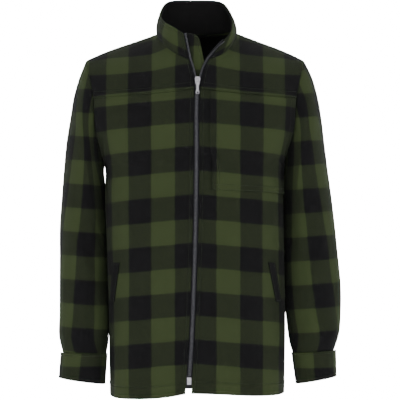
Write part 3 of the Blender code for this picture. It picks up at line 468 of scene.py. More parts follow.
@dataclass(frozen=True)
class BodyForm:
    """The body as superellipses, squarer in front than behind, with its zip line, hem and armholes.

    Each row of sections is a height, the section's middle, half breadth, and depth in front and behind.
    """

    sections: Rows = (
        (-0.752, 0.0035, 0.1810, 0.129, 0.127),
        (-0.600, 0.0032, 0.1832, 0.136, 0.124),
        (-0.450, 0.0002, 0.1847, 0.139, 0.120),
        (-0.330, -0.0027, 0.1852, 0.139, 0.123),
        (-0.275, -0.0032, 0.1855, 0.137, 0.127),
        (-0.241, -0.0028, 0.1975, 0.135, 0.129),
        (-0.218, -0.0022, 0.2070, 0.133, 0.130),
        (-0.193, -0.0015, 0.2150, 0.130, 0.130),
        (-0.165, -0.0012, 0.2190, 0.126, 0.128),
        (-0.130, -0.0010, 0.2215, 0.119, 0.122),
        (-0.090, -0.0010, 0.2245, 0.109, 0.108),
        (-0.050, -0.0010, 0.2265, 0.096, 0.090),
    )
    front_squareness: float = 3.1
    back_squareness: float = 2.7
    zip_line: Rows = (
        (-0.745, -0.0145),
        (-0.703, -0.0120),
        (-0.650, -0.0085),
        (-0.560, -0.0045),
        (-0.420, 0.0000),
        (-0.283, 0.0021),
        (-0.130, 0.0031),
        (-0.100, 0.0045),
    )
    open_edges: Rows = (
        (-0.118, -0.0028, 0.0092),
        (-0.092, -0.0040, 0.0140),
        (-0.074, -0.0085, 0.0200),
        (-0.057, -0.0140, 0.0285),
    )
    half_opening: float = 0.0060
    hem: Rows = (
        (0.00, -0.7410, -0.7400, -0.7420),
        (0.12, -0.7465, -0.7410, -0.7420),
        (0.55, -0.7525, -0.7458, -0.7425),
        (0.80, -0.7495, -0.7445, -0.7425),
        (1.00, -0.7400, -0.7400, -0.7400),
    )
    yoke_seam_front: float = -0.118
    yoke_seam_back: float = -0.128
    armhole_top: float = -0.0545
    underarm: float = -0.275
    armhole_front: float = 0.072
    armhole_back: float = 0.078
    shoulder_back: float = 0.006

    def side_points(self, side: Side, y: Array, z: Array) -> Array:
        """Points of the form at given depths and heights, solved from the superellipse for X."""
        middle, half, front, back = table(self.sections, z).T
        depth = np.where(y < 0, front, back)
        square = np.where(y < 0, self.front_squareness, self.back_squareness)
        out = half * (1 - (np.abs(y) / depth) ** square) ** (1 / square)
        return np.stack([middle + side.value * out, y, z], axis=1)

    def front_points(self, x: Array, z: Array) -> Array:
        """Points of the form's front at given places across and heights, solved for Y."""
        middle, half, front, _ = table(self.sections, z).T
        rest = 1 - (np.abs(x - middle) / half) ** self.front_squareness
        return np.stack([x, -front * rest ** (1 / self.front_squareness), z], axis=1)

    def lines(self, starts: Array, ends: Array, steps: int, behind: bool = False) -> Array:
        """Lines over the form between pairs of its points, in equal steps; angle and height change evenly."""
        sign = 1 if behind else -1
        angles = []
        for points in (starts, ends):
            middle = table(self.sections, points[:, 2])[:, 0]
            angles.append(sign * np.arctan2(np.abs(points[:, 1]), points[:, 0] - middle))
        share = np.linspace(0, 1, 240)[None, :]
        angle = angles[0][:, None] + (angles[1] - angles[0])[:, None] * share
        z = starts[:, 2:] + (ends[:, 2:] - starts[:, 2:]) * share
        middle, half, front, back = table(self.sections, z.ravel()).T.reshape(4, *z.shape)
        depth, square = (back, self.back_squareness) if behind else (front, self.front_squareness)
        radius = (np.abs(np.cos(angle) / half) ** square + np.abs(np.sin(angle) / depth) ** square) ** (-1 / square)
        points = np.stack([middle + radius * np.cos(angle), radius * np.sin(angle), z], axis=-1)
        points[:, 0], points[:, -1] = starts, ends
        return np.array([even(line, steps) for line in points])

    def armhole(self, side: Side) -> Array:
        """The armhole's ring: heights follow a cosine, depths a sine, from the shoulder down the front."""
        turn = np.arange(ARMHOLE_POINTS) * 2 * np.pi / ARMHOLE_POINTS
        height = (self.armhole_top + self.underarm) / 2 + (self.armhole_top - self.underarm) / 2 * np.cos(turn)
        out = np.where(np.sin(turn) > 0, self.armhole_front, self.armhole_back)
        depth = self.shoulder_back * (1 + np.cos(turn)) / 2 - out * np.sin(turn)
        return self.side_points(side, depth, height)

    def front_edge(self, side: Side, z: Array) -> Array:
        """The front edge of the cloth beside the zip, at given heights."""
        closed = table(self.zip_line, z)[:, 0] + side.value * self.half_opening
        opened = table(self.open_edges, z)[:, 0 if side is Side.RIGHT else 1]
        return self.front_points(np.where(z > self.open_edges[0][0], opened, closed), z)

    def hem_height(self, share: Array, column: int) -> Array:
        """The hem's height at shares of the way from the front edge to the side seam."""
        return table(tuple((row[0], row[column]) for row in self.hem), np.asarray(share, float))[:, 0]


@dataclass
class Front:
    """A front below the yoke seam, from the zip round to the side seam and the armhole."""

    side: Side
    body: BodyForm
    folds: Rows

    def build(self, ring: Array) -> Cloth:
        """Rows over the body form from hem to yoke seam, creased, with the check measured out from the zip."""
        body, side = self.body, self.side
        column = 1 if side is Side.RIGHT else 2
        side_foot = body.hem_height([1.0], column)[0]
        heights = np.linspace(side_foot, body.underarm, SIDE_ROWS + 1)[:-1]
        ends = np.concatenate(
            [body.side_points(side, np.zeros(len(heights)), heights), ring[UNDERARM_STEP : YOKE_STEP - 1 : -1]]
        )
        share = (ends[:, 2] - ends[0, 2]) / (ends[-1, 2] - ends[0, 2])
        hem = body.hem_height([0.0], column)[0]
        starts = body.front_edge(side, hem + share * (body.yoke_seam_front - hem))
        grid = body.lines(starts, ends, FRONT_COLUMNS)
        shares = np.linspace(0, 1, FRONT_COLUMNS + 1)
        level = (1 - shares) * grid[0, 0, 2] + shares * grid[0, -1, 2]
        fade = np.linspace(1, 0, FINE, endpoint=False)[:, None]
        grid[:FINE, :, 2] += fade * (body.hem_height(shares, column) - level)[None]
        grid = pressed(grid, from_axis(grid), self.folds, free_foot=True)
        out = reach(grid, 1) + side.value * (grid[:, :1, 0] - FRONT_MIDDLE)
        row = ROW_START - grid[..., 2] - ROW_SLOPE * out
        row -= (1 - HEM_ROW_SHARE) * np.maximum(row - HEM_ROW_FROM, 0)
        weave = np.stack([out + COLUMN_START, row], axis=-1)
        profiles = dict(left=ZIP_EDGE, foot=HEM, top=YOKE_SEAM_BELOW)
        return Cloth(grid, normals(grid, from_axis(grid)), weave, **profiles)


@dataclass
class FrontYoke:
    """A front yoke, between the yoke seam, the front edge, the neck and shoulder line, and the armhole."""

    side: Side
    body: BodyForm
    crown: float = 0.004

    def build(self, below: Cloth, neck: Array, ring: Array) -> Cloth:
        """A patch between its four lines; the check goes on upwards by the distance over the cloth."""
        top = np.concatenate([neck, shoulder_line(neck[-1], ring)[1:]])
        seam = below.points[-1]
        edge = self.body.front_edge(self.side, np.linspace(seam[0, 2], neck[0, 2], YOKE_STEP + 1))
        edge[0] = seam[0]
        edge += np.linspace(0, 1, len(edge))[:, None] * (neck[0] - edge[-1])
        hole = ring[YOKE_STEP::-1]
        outward = np.array([0.0, -1.0, 0.6])
        grid = crowned(coons(seam, top, edge, hole), self.crown, outward)
        out, known = (self.side.value * (x - FRONT_MIDDLE) for x in (grid[..., 0], seam[:, 0]))
        column = np.interp(out, known, below.weave[-1, :, 0]) + np.maximum(out - known[-1], 0)
        column -= np.maximum(known[0] - out, 0)
        row = below.weave[-1:, :, 1] - YOKE_ROW_SHIFT - reach(grid, 0)
        profiles = dict(left=ZIP_EDGE, foot=YOKE_SEAM)
        return Cloth(grid, normals(grid, outward), np.stack([column, row], axis=-1), **profiles)


def shoulder_line(neck_corner: Array, ring: Array) -> Array:
    """The shoulder line from the neck's corner to the shoulder point: straight, plus one low sine bump."""
    share = np.linspace(0, 1, RIDGE_STEPS + 1)[:, None]
    return (1 - share) * neck_corner + share * ring[0] + np.array([0, 0, 0.0030]) * np.sin(np.pi * share**1.8)


@dataclass
class Back:
    """The back below its yoke seam, and the back yoke above it."""

    body: BodyForm
    folds: Rows
    sag: float = -0.004
    row_slope: float = 0.04
    side_drop: float = 0.026

    def panel(self, rings: dict[Side, Array]) -> Cloth:
        """Rows over the back of the body form; the middle of the yoke seam is lifted to its own height."""
        body = self.body
        last = ARMHOLE_POINTS - YOKE_STEP
        heights = np.linspace(body.hem_height([1.0], 3)[0], body.underarm, SIDE_ROWS + 1)[:-1]
        ends = [
            np.concatenate(
                [body.side_points(side, np.zeros(len(heights)), heights), rings[side][UNDERARM_STEP : last + 1]]
            )
            for side in Side
        ]
        columns = 2 * RIDGE_STEPS + BACK_NECK_STEPS
        grid = body.lines(ends[0], ends[1], columns, behind=True)
        share = np.linspace(0, 1, len(grid))[:, None]
        across = np.sin(np.pi * np.linspace(0, 1, columns + 1))[None, :]
        grid[..., 2] += across * ((1 - share) * self.sag + share * (body.yoke_seam_back - grid[-1, 0, 2]))
        grid = pressed(grid, from_axis(grid), self.folds, free_foot=True)
        out = reach(grid, 1)
        middle = out[:, columns // 2][:, None]
        away = np.abs(out - middle)
        row = ROW_START - grid[..., 2] - self.side_drop + self.row_slope * (middle - away)
        weave = np.stack([out - middle + CHECK_ACROSS / 4, row], axis=-1)
        return Cloth(grid, normals(grid, from_axis(grid)), weave, foot=HEM, top=YOKE_SEAM_BELOW)

    def yoke(self, below: Cloth, neck: Array, rings: dict[Side, Array]) -> Cloth:
        """The back yoke: a patch up to the shoulder lines and the neck, crowned a little."""
        right = shoulder_line(neck[0], rings[Side.RIGHT])[::-1]
        left = shoulder_line(neck[-1], rings[Side.LEFT])
        top = np.concatenate([right, neck[1:-1], left])
        first = ARMHOLE_POINTS - YOKE_STEP
        holes = [np.roll(rings[side], -first, axis=0)[: YOKE_STEP + 1] for side in Side]
        seam = below.points[-1]
        outward = np.array([0.0, 1.0, 0.6])
        grid = crowned(coons(seam, top, holes[0], holes[1]), 0.006, outward)
        column = np.interp(grid[..., 0], seam[:, 0], below.weave[-1, :, 0])
        row = below.weave[-1:, :, 1] - 0.012 - reach(grid, 0)
        return Cloth(grid, normals(grid, outward), np.stack([column, row], axis=-1), foot=YOKE_SEAM)


@dataclass
class Collar:
    """The stand collar. Each station is a seam point, a rim point, and how far the cloth bulges between."""

    stations: Rows = (
        (-0.0140, -0.0975, -0.0570, -0.0250, -0.0900, -0.0030, 0.000),
        (-0.0440, -0.0860, -0.0440, -0.0430, -0.0840, 0.0085, 0.003),
        (-0.0700, -0.0500, -0.0210, -0.0640, -0.0560, 0.0225, 0.005),
        (-0.0790, 0.0080, 0.0020, -0.0735, 0.0000, 0.0460, 0.003),
        (-0.0520, 0.0480, 0.0030, -0.0580, 0.0400, 0.0700, 0.001),
        (0.0020, 0.0600, 0.0020, -0.0020, 0.0530, 0.0742, 0.000),
        (0.0560, 0.0480, 0.0040, 0.0530, 0.0410, 0.0700, 0.001),
        (0.0840, 0.0080, 0.0040, 0.0705, 0.0060, 0.0500, 0.003),
        (0.0780, -0.0460, -0.0220, 0.0775, -0.0420, 0.0180, 0.005),
        (0.0570, -0.0820, -0.0460, 0.0740, -0.0680, 0.0000, 0.004),
        (0.0285, -0.0985, -0.0570, 0.0600, -0.0860, -0.0200, 0.000),
    )
    corners: tuple[int, int] = (3, 7)

    def neck(self) -> list[Array]:
        """The stations read smoothly in three stretches: right front, back and left front."""
        stations = np.array(self.stations)
        along = lengths(stations[:, :3])
        dense = np.linspace(0, along[-1], 600)
        read = smooth(along, stations, dense)
        corners = np.searchsorted(dense, along[list(self.corners)])
        cuts = (0, corners[0], corners[1], len(dense) - 1)
        pieces = []
        for start, end, steps in zip(cuts[:-1], cuts[1:], (NECK_STEPS, BACK_NECK_STEPS, NECK_STEPS)):
            at = np.linspace(start, end, steps + 1)
            pieces.append(np.stack([np.interp(at, np.arange(len(dense)), c) for c in read.T], axis=1))
        return pieces

    def build(self, neck: list[Array]) -> Cloth:
        """Straight rows from seam to rim, bulged by a parabola between them."""
        line = np.concatenate([neck[0], neck[1][1:], neck[2][1:]])
        share = np.linspace(0, 1, COLLAR_ROWS + 1)[:, None, None]
        grid = (1 - share) * line[None, :, :3] + share * line[None, :, 3:6]
        outward = unit(line[:, :3] * np.array([1.0, 1.0, 0.0]))
        grid = grid + outward[None] * line[None, :, 6:7] * 4 * share * (1 - share)
        along = reach(grid, 1).mean(axis=0)[None, :] + np.zeros(grid.shape[:2])
        weave = np.stack([along + 0.030, 0.018 - reach(grid, 0)], axis=-1)
        facing = normals(grid, from_axis(grid))
        return Cloth(grid, facing, weave, foot=SEAM, top=RIM, left=ZIP_EDGE, right=ZIP_EDGE)


@dataclass
class Sleeve:
    """A sleeve from its armhole to its cuff seam.

    Each row of rings is its outer and inner point seen from the front, its half depths in front and behind,
    and its middle's depth. Each fold is its place down and round, half length, half width, depth and slant.
    """

    side: Side
    rings: Rows
    folds: Rows
    boundary: Rows
    row_anchor: tuple[float, float]
    lean: float

    def ring_of(self, row: tuple[float, ...], turn: Array) -> Array:
        """One ring: an ellipse between its outer and inner point, turning from outer towards the front."""
        outer_x, outer_z, inner_x, inner_z, front, back, middle_y = row
        x = (outer_x + inner_x) / 2 + (outer_x - inner_x) / 2 * np.cos(turn)
        z = (outer_z + inner_z) / 2 + (outer_z - inner_z) / 2 * np.cos(turn)
        y = middle_y - np.where(np.sin(turn) > 0, front, back) * np.sin(turn)
        return np.stack([x, y, z], axis=-1)

    def weave(self, grid: Array, shift: float = 0.0) -> Array:
        """The check round the arm, measured from a boundary line down the front, and down the arm's axis."""
        closed = np.concatenate([grid, grid[:, :1]], axis=1)
        out = reach(closed, 1)
        quarter = grid.shape[1] // 2
        edge = table(self.boundary, grid[:, :quarter, 2].mean(axis=1))[:, 0]
        gap = np.abs(grid[:, 2:quarter, 0] - edge[:, None])
        start = out[np.arange(len(grid)), 2 + np.argmin(gap, axis=1)]
        start = np.convolve(np.pad(start, FINE * 2, mode="edge"), np.full(4 * FINE + 1, 1 / (4 * FINE + 1)), "valid")
        column = out - start[:, None] + (CHECK_ACROSS / 2 if self.side is Side.LEFT else 0.0)
        axis = unit(np.array([self.side.value * self.lean, 0.0, -1.0]))
        x, z = self.row_anchor
        row = (closed - np.array([x, 0.0, z])) @ axis
        return np.stack([column, row + shift], axis=-1)

    def build(self, ring: Array) -> Cloth:
        """Rings read smoothly down the arm, with bell-shaped creases pressed in along their slants."""
        turn = np.arange(ARMHOLE_POINTS) * 2 * np.pi / ARMHOLE_POINTS
        rings = np.array([ring] + [self.ring_of(row, turn) for row in self.rings])
        along = lengths(rings.mean(axis=1))
        at = np.linspace(0, along[-1], SLEEVE_RINGS + 1)
        grid = smooth(along, rings.reshape(len(rings), -1), at).reshape(len(at), ARMHOLE_POINTS, 3)
        weave = self.weave(grid)
        outward = grid - grid.mean(axis=1, keepdims=True)
        share = np.linspace(0, 1, len(at))[None, :, None]
        around = (turn / (2 * np.pi))[None, None, :]
        down, place_round, long, wide, deep, slant = (c[:, None, None] for c in np.array(self.folds).T)
        off = (around - place_round - slant * (share - down) + 0.5) % 1.0 - 0.5
        depth = np.sum(deep * np.exp(-((off / wide) ** 2) - ((share - down) / long) ** 2), axis=0)
        fade = np.clip(np.minimum(share[0] / 0.06, (1 - share[0]) / 0.04), 0, 1)
        grid = grid - normals(grid, outward, True) * (depth * fade)[..., None]
        return Cloth(grid, normals(grid, outward, True), weave, closed=True, foot=SEAM, top=PLAIN)


@dataclass
class Cuff:
    """A cuff: a band that winds once round the wrist and laps over its own start at the outer side."""

    sleeve: Sleeve
    foot: tuple[float, ...]
    row_height: float
    boundary: float
    wall: float = 0.0028
    ease: float = 0.0003
    start_step: int = 2
    lap_steps: int = 3
    rows: int = 14

    def build(self) -> Cloth:
        """Rings from the cuff seam to the lower edge, spiralled outwards by a wall and a gap a turn."""
        steps = ARMHOLE_POINTS // FINE
        count = (steps + self.lap_steps) * FINE
        turn = (self.start_step - np.arange(count + 1) / FINE) * 2 * np.pi / steps
        share = np.linspace(0, 1, self.rows + 1)[:, None, None]
        top = self.sleeve.ring_of(self.sleeve.rings[-1], turn)
        foot = self.sleeve.ring_of(self.foot, turn)
        grid = (1 - share) * top[None] + share * foot[None]
        axis = grid[:, :ARMHOLE_POINTS].mean(axis=1, keepdims=True)
        outward = unit((grid - axis) * np.array([1.0, 1.0, 0.0]))
        wind = np.linspace(0, 1, count + 1)[None, :, None]
        grow = self.ease + (self.wall + LAYER_GAP) * wind * (steps + self.lap_steps) / steps
        grid = grid + outward * (grow + 0.002 * np.clip(wind - 0.96, 0, 1) / 0.04 * (1 - share))
        grid[:, :, 2] -= SEAM_GAP * (1 - share[..., 0])
        out = reach(grid, 1).mean(axis=0)
        front = slice(count // 2, count)
        edge = front.start + np.argmin(np.abs(grid[self.rows // 2, front, 0] - self.boundary))
        column = (out[edge] - out)[None, :] + np.zeros(grid.shape[:2])
        column += CHECK_ACROSS / 2 if self.sleeve.side is Side.LEFT else 0.0
        weave = np.stack([column, self.row_height - grid[..., 2]], axis=-1)
        profiles = dict(foot=BAND, top=BAND, left=BAND, right=BAND)
        return Cloth(grid, outward, weave, thickness=self.wall, **profiles)


@dataclass
class ChestPocket:
    """The patch pocket on the left front, from beside the zip to the armhole."""

    corner: tuple[float, float] = (0.0337, -0.3240)
    top_share: float = 0.994
    outer_share: float = 0.915
    wall: float = 0.0018
    gape: float = 0.0022
    gape_width: float = 0.009

    def build(self, panel: Cloth) -> Cloth:
        """The panel's own surface between four shares, moved out by the gap and the patch's wall."""
        start, foot = place(panel.points, *self.corner)
        across = np.linspace(start, self.outer_share, 44)[None, :]
        up = np.linspace(foot, self.top_share, 44)[:, None]
        grid, facing = sample(panel.points, across, up), unit(sample(panel.facing, across, up))
        profiles = dict(foot=PATCH_EDGE, top=PLAIN, left=POCKET_MOUTH, right=SEAM)
        out = LAYER_GAP + self.wall
        gape = self.gape * np.exp(-((reach(grid, 1) / self.gape_width) ** 2))
        grid = grid + facing * gape[..., None]
        return Cloth(grid, facing, sample(panel.weave, across, up), out=out, thickness=self.wall, **profiles)


@dataclass
class Welt:
    """The welt of a slanted hand pocket: the top and foot of its opening, and its width."""

    side: Side
    top: tuple[float, float]
    foot: tuple[float, float]
    width: float = 0.014
    wall: float = 0.0018

    def build(self, panel: Cloth) -> Cloth:
        """A band over the panel along the opening's slant, cut from the black of the check."""
        top, foot = place(panel.points, *self.top), place(panel.points, *self.foot)
        out = abs(place(panel.points, self.top[0] + self.side.value * self.width, self.top[1])[0] - top[0])
        share = np.linspace(0, 1, 25)[:, None]
        up = foot[1] + (top[1] - foot[1]) * share
        across = foot[0] + (top[0] - foot[0]) * share + out * np.linspace(0, 1, 9)[None, :]
        grid, facing = sample(panel.points, across, up), unit(sample(panel.facing, across, up))
        weave = np.stack([0.012 + reach(grid, 1), 0.020 + 0.3 * reach(grid, 0)], axis=-1)
        profiles = dict(foot=FREE_PATCH, top=FREE_PATCH, left=FREE_PATCH, right=FREE_PATCH)
        return Cloth(grid, facing, weave, out=LAYER_GAP + self.wall, thickness=self.wall, **profiles)


FREE_PATCH = EdgeProfile(roll=0.0009, ridges=((0.0030, -0.0004, 0.0009),), stitches=(0.0030,))


@dataclass
class Lining:
    """A plain lining inside a piece, clear of its inner face."""

    edge: float = 0.03
    wall: float = 0.0015

    def build(self, cloth: Cloth) -> Cloth:
        """The piece's own surface inside its edges, moved in by its wall and a gap."""
        rows, columns = cloth.points.shape[:2]
        across = np.linspace(1 / (columns / FINE), 1 - 1 / (columns / FINE), columns - 2 * FINE)[None, :]
        up = np.linspace(self.edge, 1 - self.edge, rows)[:, None]
        grid, facing = sample(cloth.points, across, up), unit(sample(cloth.facing, across, up))
        weave = np.stack(
            [reach(grid, 1), reach(grid, 0)], axis=-1
        )
        profiles = dict(foot=PLAIN, top=PLAIN, left=PLAIN, right=PLAIN)
        return Cloth(grid, facing, weave, out=-(WALL + LINING_GAP), thickness=self.wall, **profiles)


@dataclass
class EdgeLine:
    """A front edge from hem to collar rim, with the directions towards the zip and outwards along it."""

    points: Array
    towards: Array
    facing: Array

    @classmethod
    def along(cls, panel: Cloth, yoke: Cloth, collar: Cloth, side: Side) -> "EdgeLine":
        """Follows the front columns of three pieces; the directions are squared to the line and smoothed."""
        first, second = (0, 1) if side is Side.RIGHT else (-1, -2)
        columns = ((panel.points, 0, 1), (yoke.points, 0, 1), (collar.points, first, second))
        points, towards = [], []
        for number, (grid, near, next_one) in enumerate(columns):
            skip = 1 if number else 0
            points.append(grid[skip:, near])
            towards.append((grid[:, near] - grid[:, next_one])[skip:])
        line, across = np.concatenate(points), unit(np.concatenate(towards))
        along = unit(np.gradient(line, axis=0))
        for _ in range(2 * FINE * FINE):
            along[1:-1] = unit(along[:-2] + 2 * along[1:-1] + along[2:])
        across = unit(across - np.sum(across * along, axis=1, keepdims=True) * along)
        for _ in range(2 * FINE * FINE):
            across[1:-1] = unit(across[:-2] + 2 * across[1:-1] + across[2:])
        facing = unit(np.cross(along, across))
        return cls(line, across, facing * np.sign(-facing[0, 1]))

    def above(self, z: float) -> "EdgeLine":
        """The part of the line above a height."""
        height = self.points[:, 2]
        keep = height > z + 1e-4
        parts = []
        for part in (self.points, self.towards, self.facing):
            first = np.array([np.interp(z, height, part[:, i]) for i in range(3)])
            parts.append(np.concatenate([[first], part[keep]]))
        return EdgeLine(*parts)

    def at(self, distances: Array) -> "EdgeLine":
        """The line read at distances along it."""
        along = lengths(self.points)
        read = [
            np.stack([np.interp(distances, along, part[:, i]) for i in range(3)], axis=1)
            for part in (self.points, self.towards, self.facing)
        ]
        return EdgeLine(read[0], unit(read[1]), unit(read[2]))

    def band(self, start: Array, end: Array, columns: int) -> Array:
        """A grid along the line between two distances towards the zip."""
        share = np.linspace(0, 1, columns)[None, :, None]
        start, end = (np.broadcast_to(d, len(self.points))[:, None, None] for d in (start, end))
        return self.points[:, None] + self.towards[:, None] * (start + (end - start) * share)


@dataclass
class Zip:
    """The zip: woven tapes, interlocking teeth, and the guard flap behind it."""

    tape: tuple[float, float, float, float] = (-0.0040, 0.0057, 0.0044, 0.0054)
    teeth: tuple[float, float, float, float] = (0.0024, 0.0057, -0.0002, 0.0021)
    tape_foot: float = -0.7280
    teeth_foot: float = -0.7060
    pitch: float = 0.0026
    tooth_length: float = 0.0015
    tooth_reach: float = 0.0042
    guard_start: float = -0.0100
    guard_reach: float = 0.0310
    guard_front: float = 0.0066
    guard_back: float = 0.0088
    guard_foot: float = -0.7300
    guard_corner: float = 0.0160

    def tape_cloth(self, line: EdgeLine) -> Cloth:
        """A flat woven strip along the edge line."""
        start, end, front, back = self.tape
        part = line.above(self.tape_foot)
        grid = part.band(start, end, 9)
        facing = np.broadcast_to(part.facing[:, None], grid.shape).copy()
        weave = np.stack([reach(grid, 1), reach(grid, 0)], axis=-1)
        profiles = dict(foot=PLAIN, top=PLAIN, left=PLAIN, right=PLAIN)
        return Cloth(grid, facing, weave, out=-front, thickness=back - front, **profiles)

    def guard_cloth(self, line: EdgeLine) -> Cloth:
        """The guard: straight across behind the zip, its top corner a quarter circle."""
        part = line.above(self.guard_foot)
        part.towards[:] = (1.0, 0.0, 0.0)
        part.facing[:] = (0.0, -1.0, 0.0)
        below = (part.points[-1, 2] - part.points[:, 2]) / self.guard_corner
        corner = np.sqrt(np.clip(1 - (1 - np.clip(below, 0, 1)) ** 2, 0, 1))
        out = self.guard_reach - self.guard_corner * (1 - corner)
        grid = part.band(self.guard_start, out, 24)
        facing = np.broadcast_to(part.facing[:, None], grid.shape).copy()
        weave = np.stack([grid[..., 0] + 0.052, ROW_START - grid[..., 2] - 0.040], axis=-1)
        profiles = dict(foot=FREE, top=RIM, left=PLAIN, right=RIM)
        thickness = self.guard_back - self.guard_front
        return Cloth(grid, facing, weave, out=-self.guard_front, thickness=thickness, **profiles)

    def teeth_mesh(self, name: str, line: EdgeLine, offset: float, closed_to: float, finish: bpy.types.Material) -> bpy.types.Object:
        """Teeth in a row: a small bevelled block with a rounded head, repeated at the pitch along the line.

        Args:
            name: The piece's name.
            line: The front edge that the teeth stand on.
            offset: Where the first tooth stands, as a share of the pitch.
            closed_to: Distance along the line up to which the two rows are meshed together.
            finish: The teeth's material.

        Returns:
            One object with every tooth of the row.
        """
        part = line.above(self.teeth_foot)
        total = lengths(part.points)[-1]
        at = np.arange(self.pitch * (0.5 + offset), total - self.pitch * 0.4, self.pitch)
        here = part.at(at)
        along = unit(np.cross(here.facing, here.towards))
        along *= np.sign(along[:, 2:])
        start, _, front, back = self.teeth
        mesh_in = np.where(at < closed_to, self.tooth_reach, self.teeth[1] - start)
        sections = np.array([[0.0, 0.62], [0.12, 1.0], [0.55, 0.72], [0.80, 1.0], [0.94, 0.94], [1.0, 0.55]])
        ring = np.array([[-1, -0.55], [-0.7, -1], [0.7, -1], [1, -0.55], [1, 0.55], [0.7, 1], [-0.7, 1], [-1, 0.55]])
        length = np.array([0.82, 1.0, 0.86, 1.0, 0.9, 0.55])
        reach_in = start + sections[None, :, 0] * mesh_in[:, None]
        half_tall = self.tooth_length / 2 * length
        half_deep = (back - front) / 2 * sections[:, 1]
        middle = (front + back) / 2
        points = (
            here.points[:, None, None]
            + here.towards[:, None, None] * reach_in[:, :, None, None]
            + along[:, None, None] * (ring[None, :, 0] * half_tall[:, None])[None, :, :, None]
            - here.facing[:, None, None] * (middle + ring[None, :, 1] * half_deep[:, None])[None, :, :, None]
        )
        number, levels, sides = points.shape[:3]
        i, j = (a.ravel() for a in np.meshgrid(np.arange(levels - 1), np.arange(sides), indexing="ij"))
        k = (j + 1) % sides
        faces = np.stack([i * sides + j, i * sides + k, (i + 1) * sides + k, (i + 1) * sides + j], axis=1)
        ends = np.array([[0, 7, 6, 1], [1, 6, 5, 2], [2, 5, 4, 3]])
        faces = np.concatenate([faces, ends, ends[:, ::-1] + (levels - 1) * sides])
        faces = (faces[None] + (np.arange(number) * levels * sides)[:, None, None]).reshape(-1, 4)
        first = points[0].reshape(-1, 3)
        one = faces[: len(faces) // number]
        centred = first - first.mean(axis=0)
        a, b, c, d = (centred[one[:, n]] for n in range(4))
        if np.sum(a * np.cross(b, c)) + np.sum(a * np.cross(c, d)) < 0:
            faces = faces[:, ::-1]
        flat = points.reshape(-1, 3)
        return make_mesh(name, flat, faces, flat[faces][..., [0, 2]], [finish])


@dataclass
class Stitching:
    """Lines of sewn stitches laid on a cloth piece."""

    length: float = 0.0030
    gap: float = 0.0011
    radius: float = 0.00032

    def along(self, points: Array, facing: Array) -> tuple[Array, Array]:
        """Stitches along a line: a spindle of five rings of six points, its radius a half sine of its length.

        Args:
            points: The line.
            facing: Outward directions along it.

        Returns:
            The stitches' points and their faces.
        """
        way = lengths(points)
        count = max(int(way[-1] / (self.length + self.gap)), 1)
        middle = (np.arange(count) + 0.5) * way[-1] / count
        share = np.array([-0.5, -0.34, 0.0, 0.34, 0.5])
        at = middle[:, None] + share[None, :] * self.length
        path = np.stack([np.interp(at, way, points[:, i]) for i in range(3)], axis=-1)
        out = unit(np.stack([np.interp(at, way, facing[:, i]) for i in range(3)], axis=-1))
        ahead = unit(path[:, -1:] - path[:, :1])
        side = unit(np.cross(ahead, out))
        thick = self.radius * np.array([0.35, 0.85, 1.0, 0.85, 0.35])[None, :, None, None]
        turn = np.arange(6) * np.pi / 3
        ring = side[:, :, None] * np.cos(turn)[:, None] + out[:, :, None] * np.sin(turn)[:, None]
        lift = (0.6 * np.cos(np.pi * share) - 0.1)[None, :, None] * self.radius
        made = (path + out * lift)[:, :, None] + ring * thick
        number, levels, sides = made.shape[:3]
        i, j = (a.ravel() for a in np.meshgrid(np.arange(levels - 1), np.arange(sides), indexing="ij"))
        k = (j + 1) % sides
        faces = np.stack([i * sides + j, i * sides + k, (i + 1) * sides + k, (i + 1) * sides + j], axis=1)
        ends = np.array([[0, 5, 4, 1], [1, 4, 3, 2]])
        faces = np.concatenate([faces, ends, ends[:, ::-1] + (levels - 1) * sides])
        faces = faces[None] + (np.arange(number) * levels * sides)[:, None, None]
        return made.reshape(-1, 3), faces.reshape(-1, 4)

    def build(self, name: str, cloth: Cloth, finish: bpy.types.Material) -> bpy.types.Object | None:
        """All of a piece's stitch lines, as one object."""
        points, faces, start = [], [], 0
        for edge in ("foot", "top", "left", "right"):
            for distance in getattr(cloth, edge).stitches:
                if cloth.closed and edge in ("left", "right"):
                    continue
                some, these = self.along(*cloth.line(edge, distance, inset=0.002))
                points.append(some)
                faces.append(these + start)
                start += len(some)
        if not points:
            return None
        all_points, all_faces = np.concatenate(points), np.concatenate(faces)
        return make_mesh(name, all_points, all_faces, all_points[all_faces][..., [0, 2]], [finish])


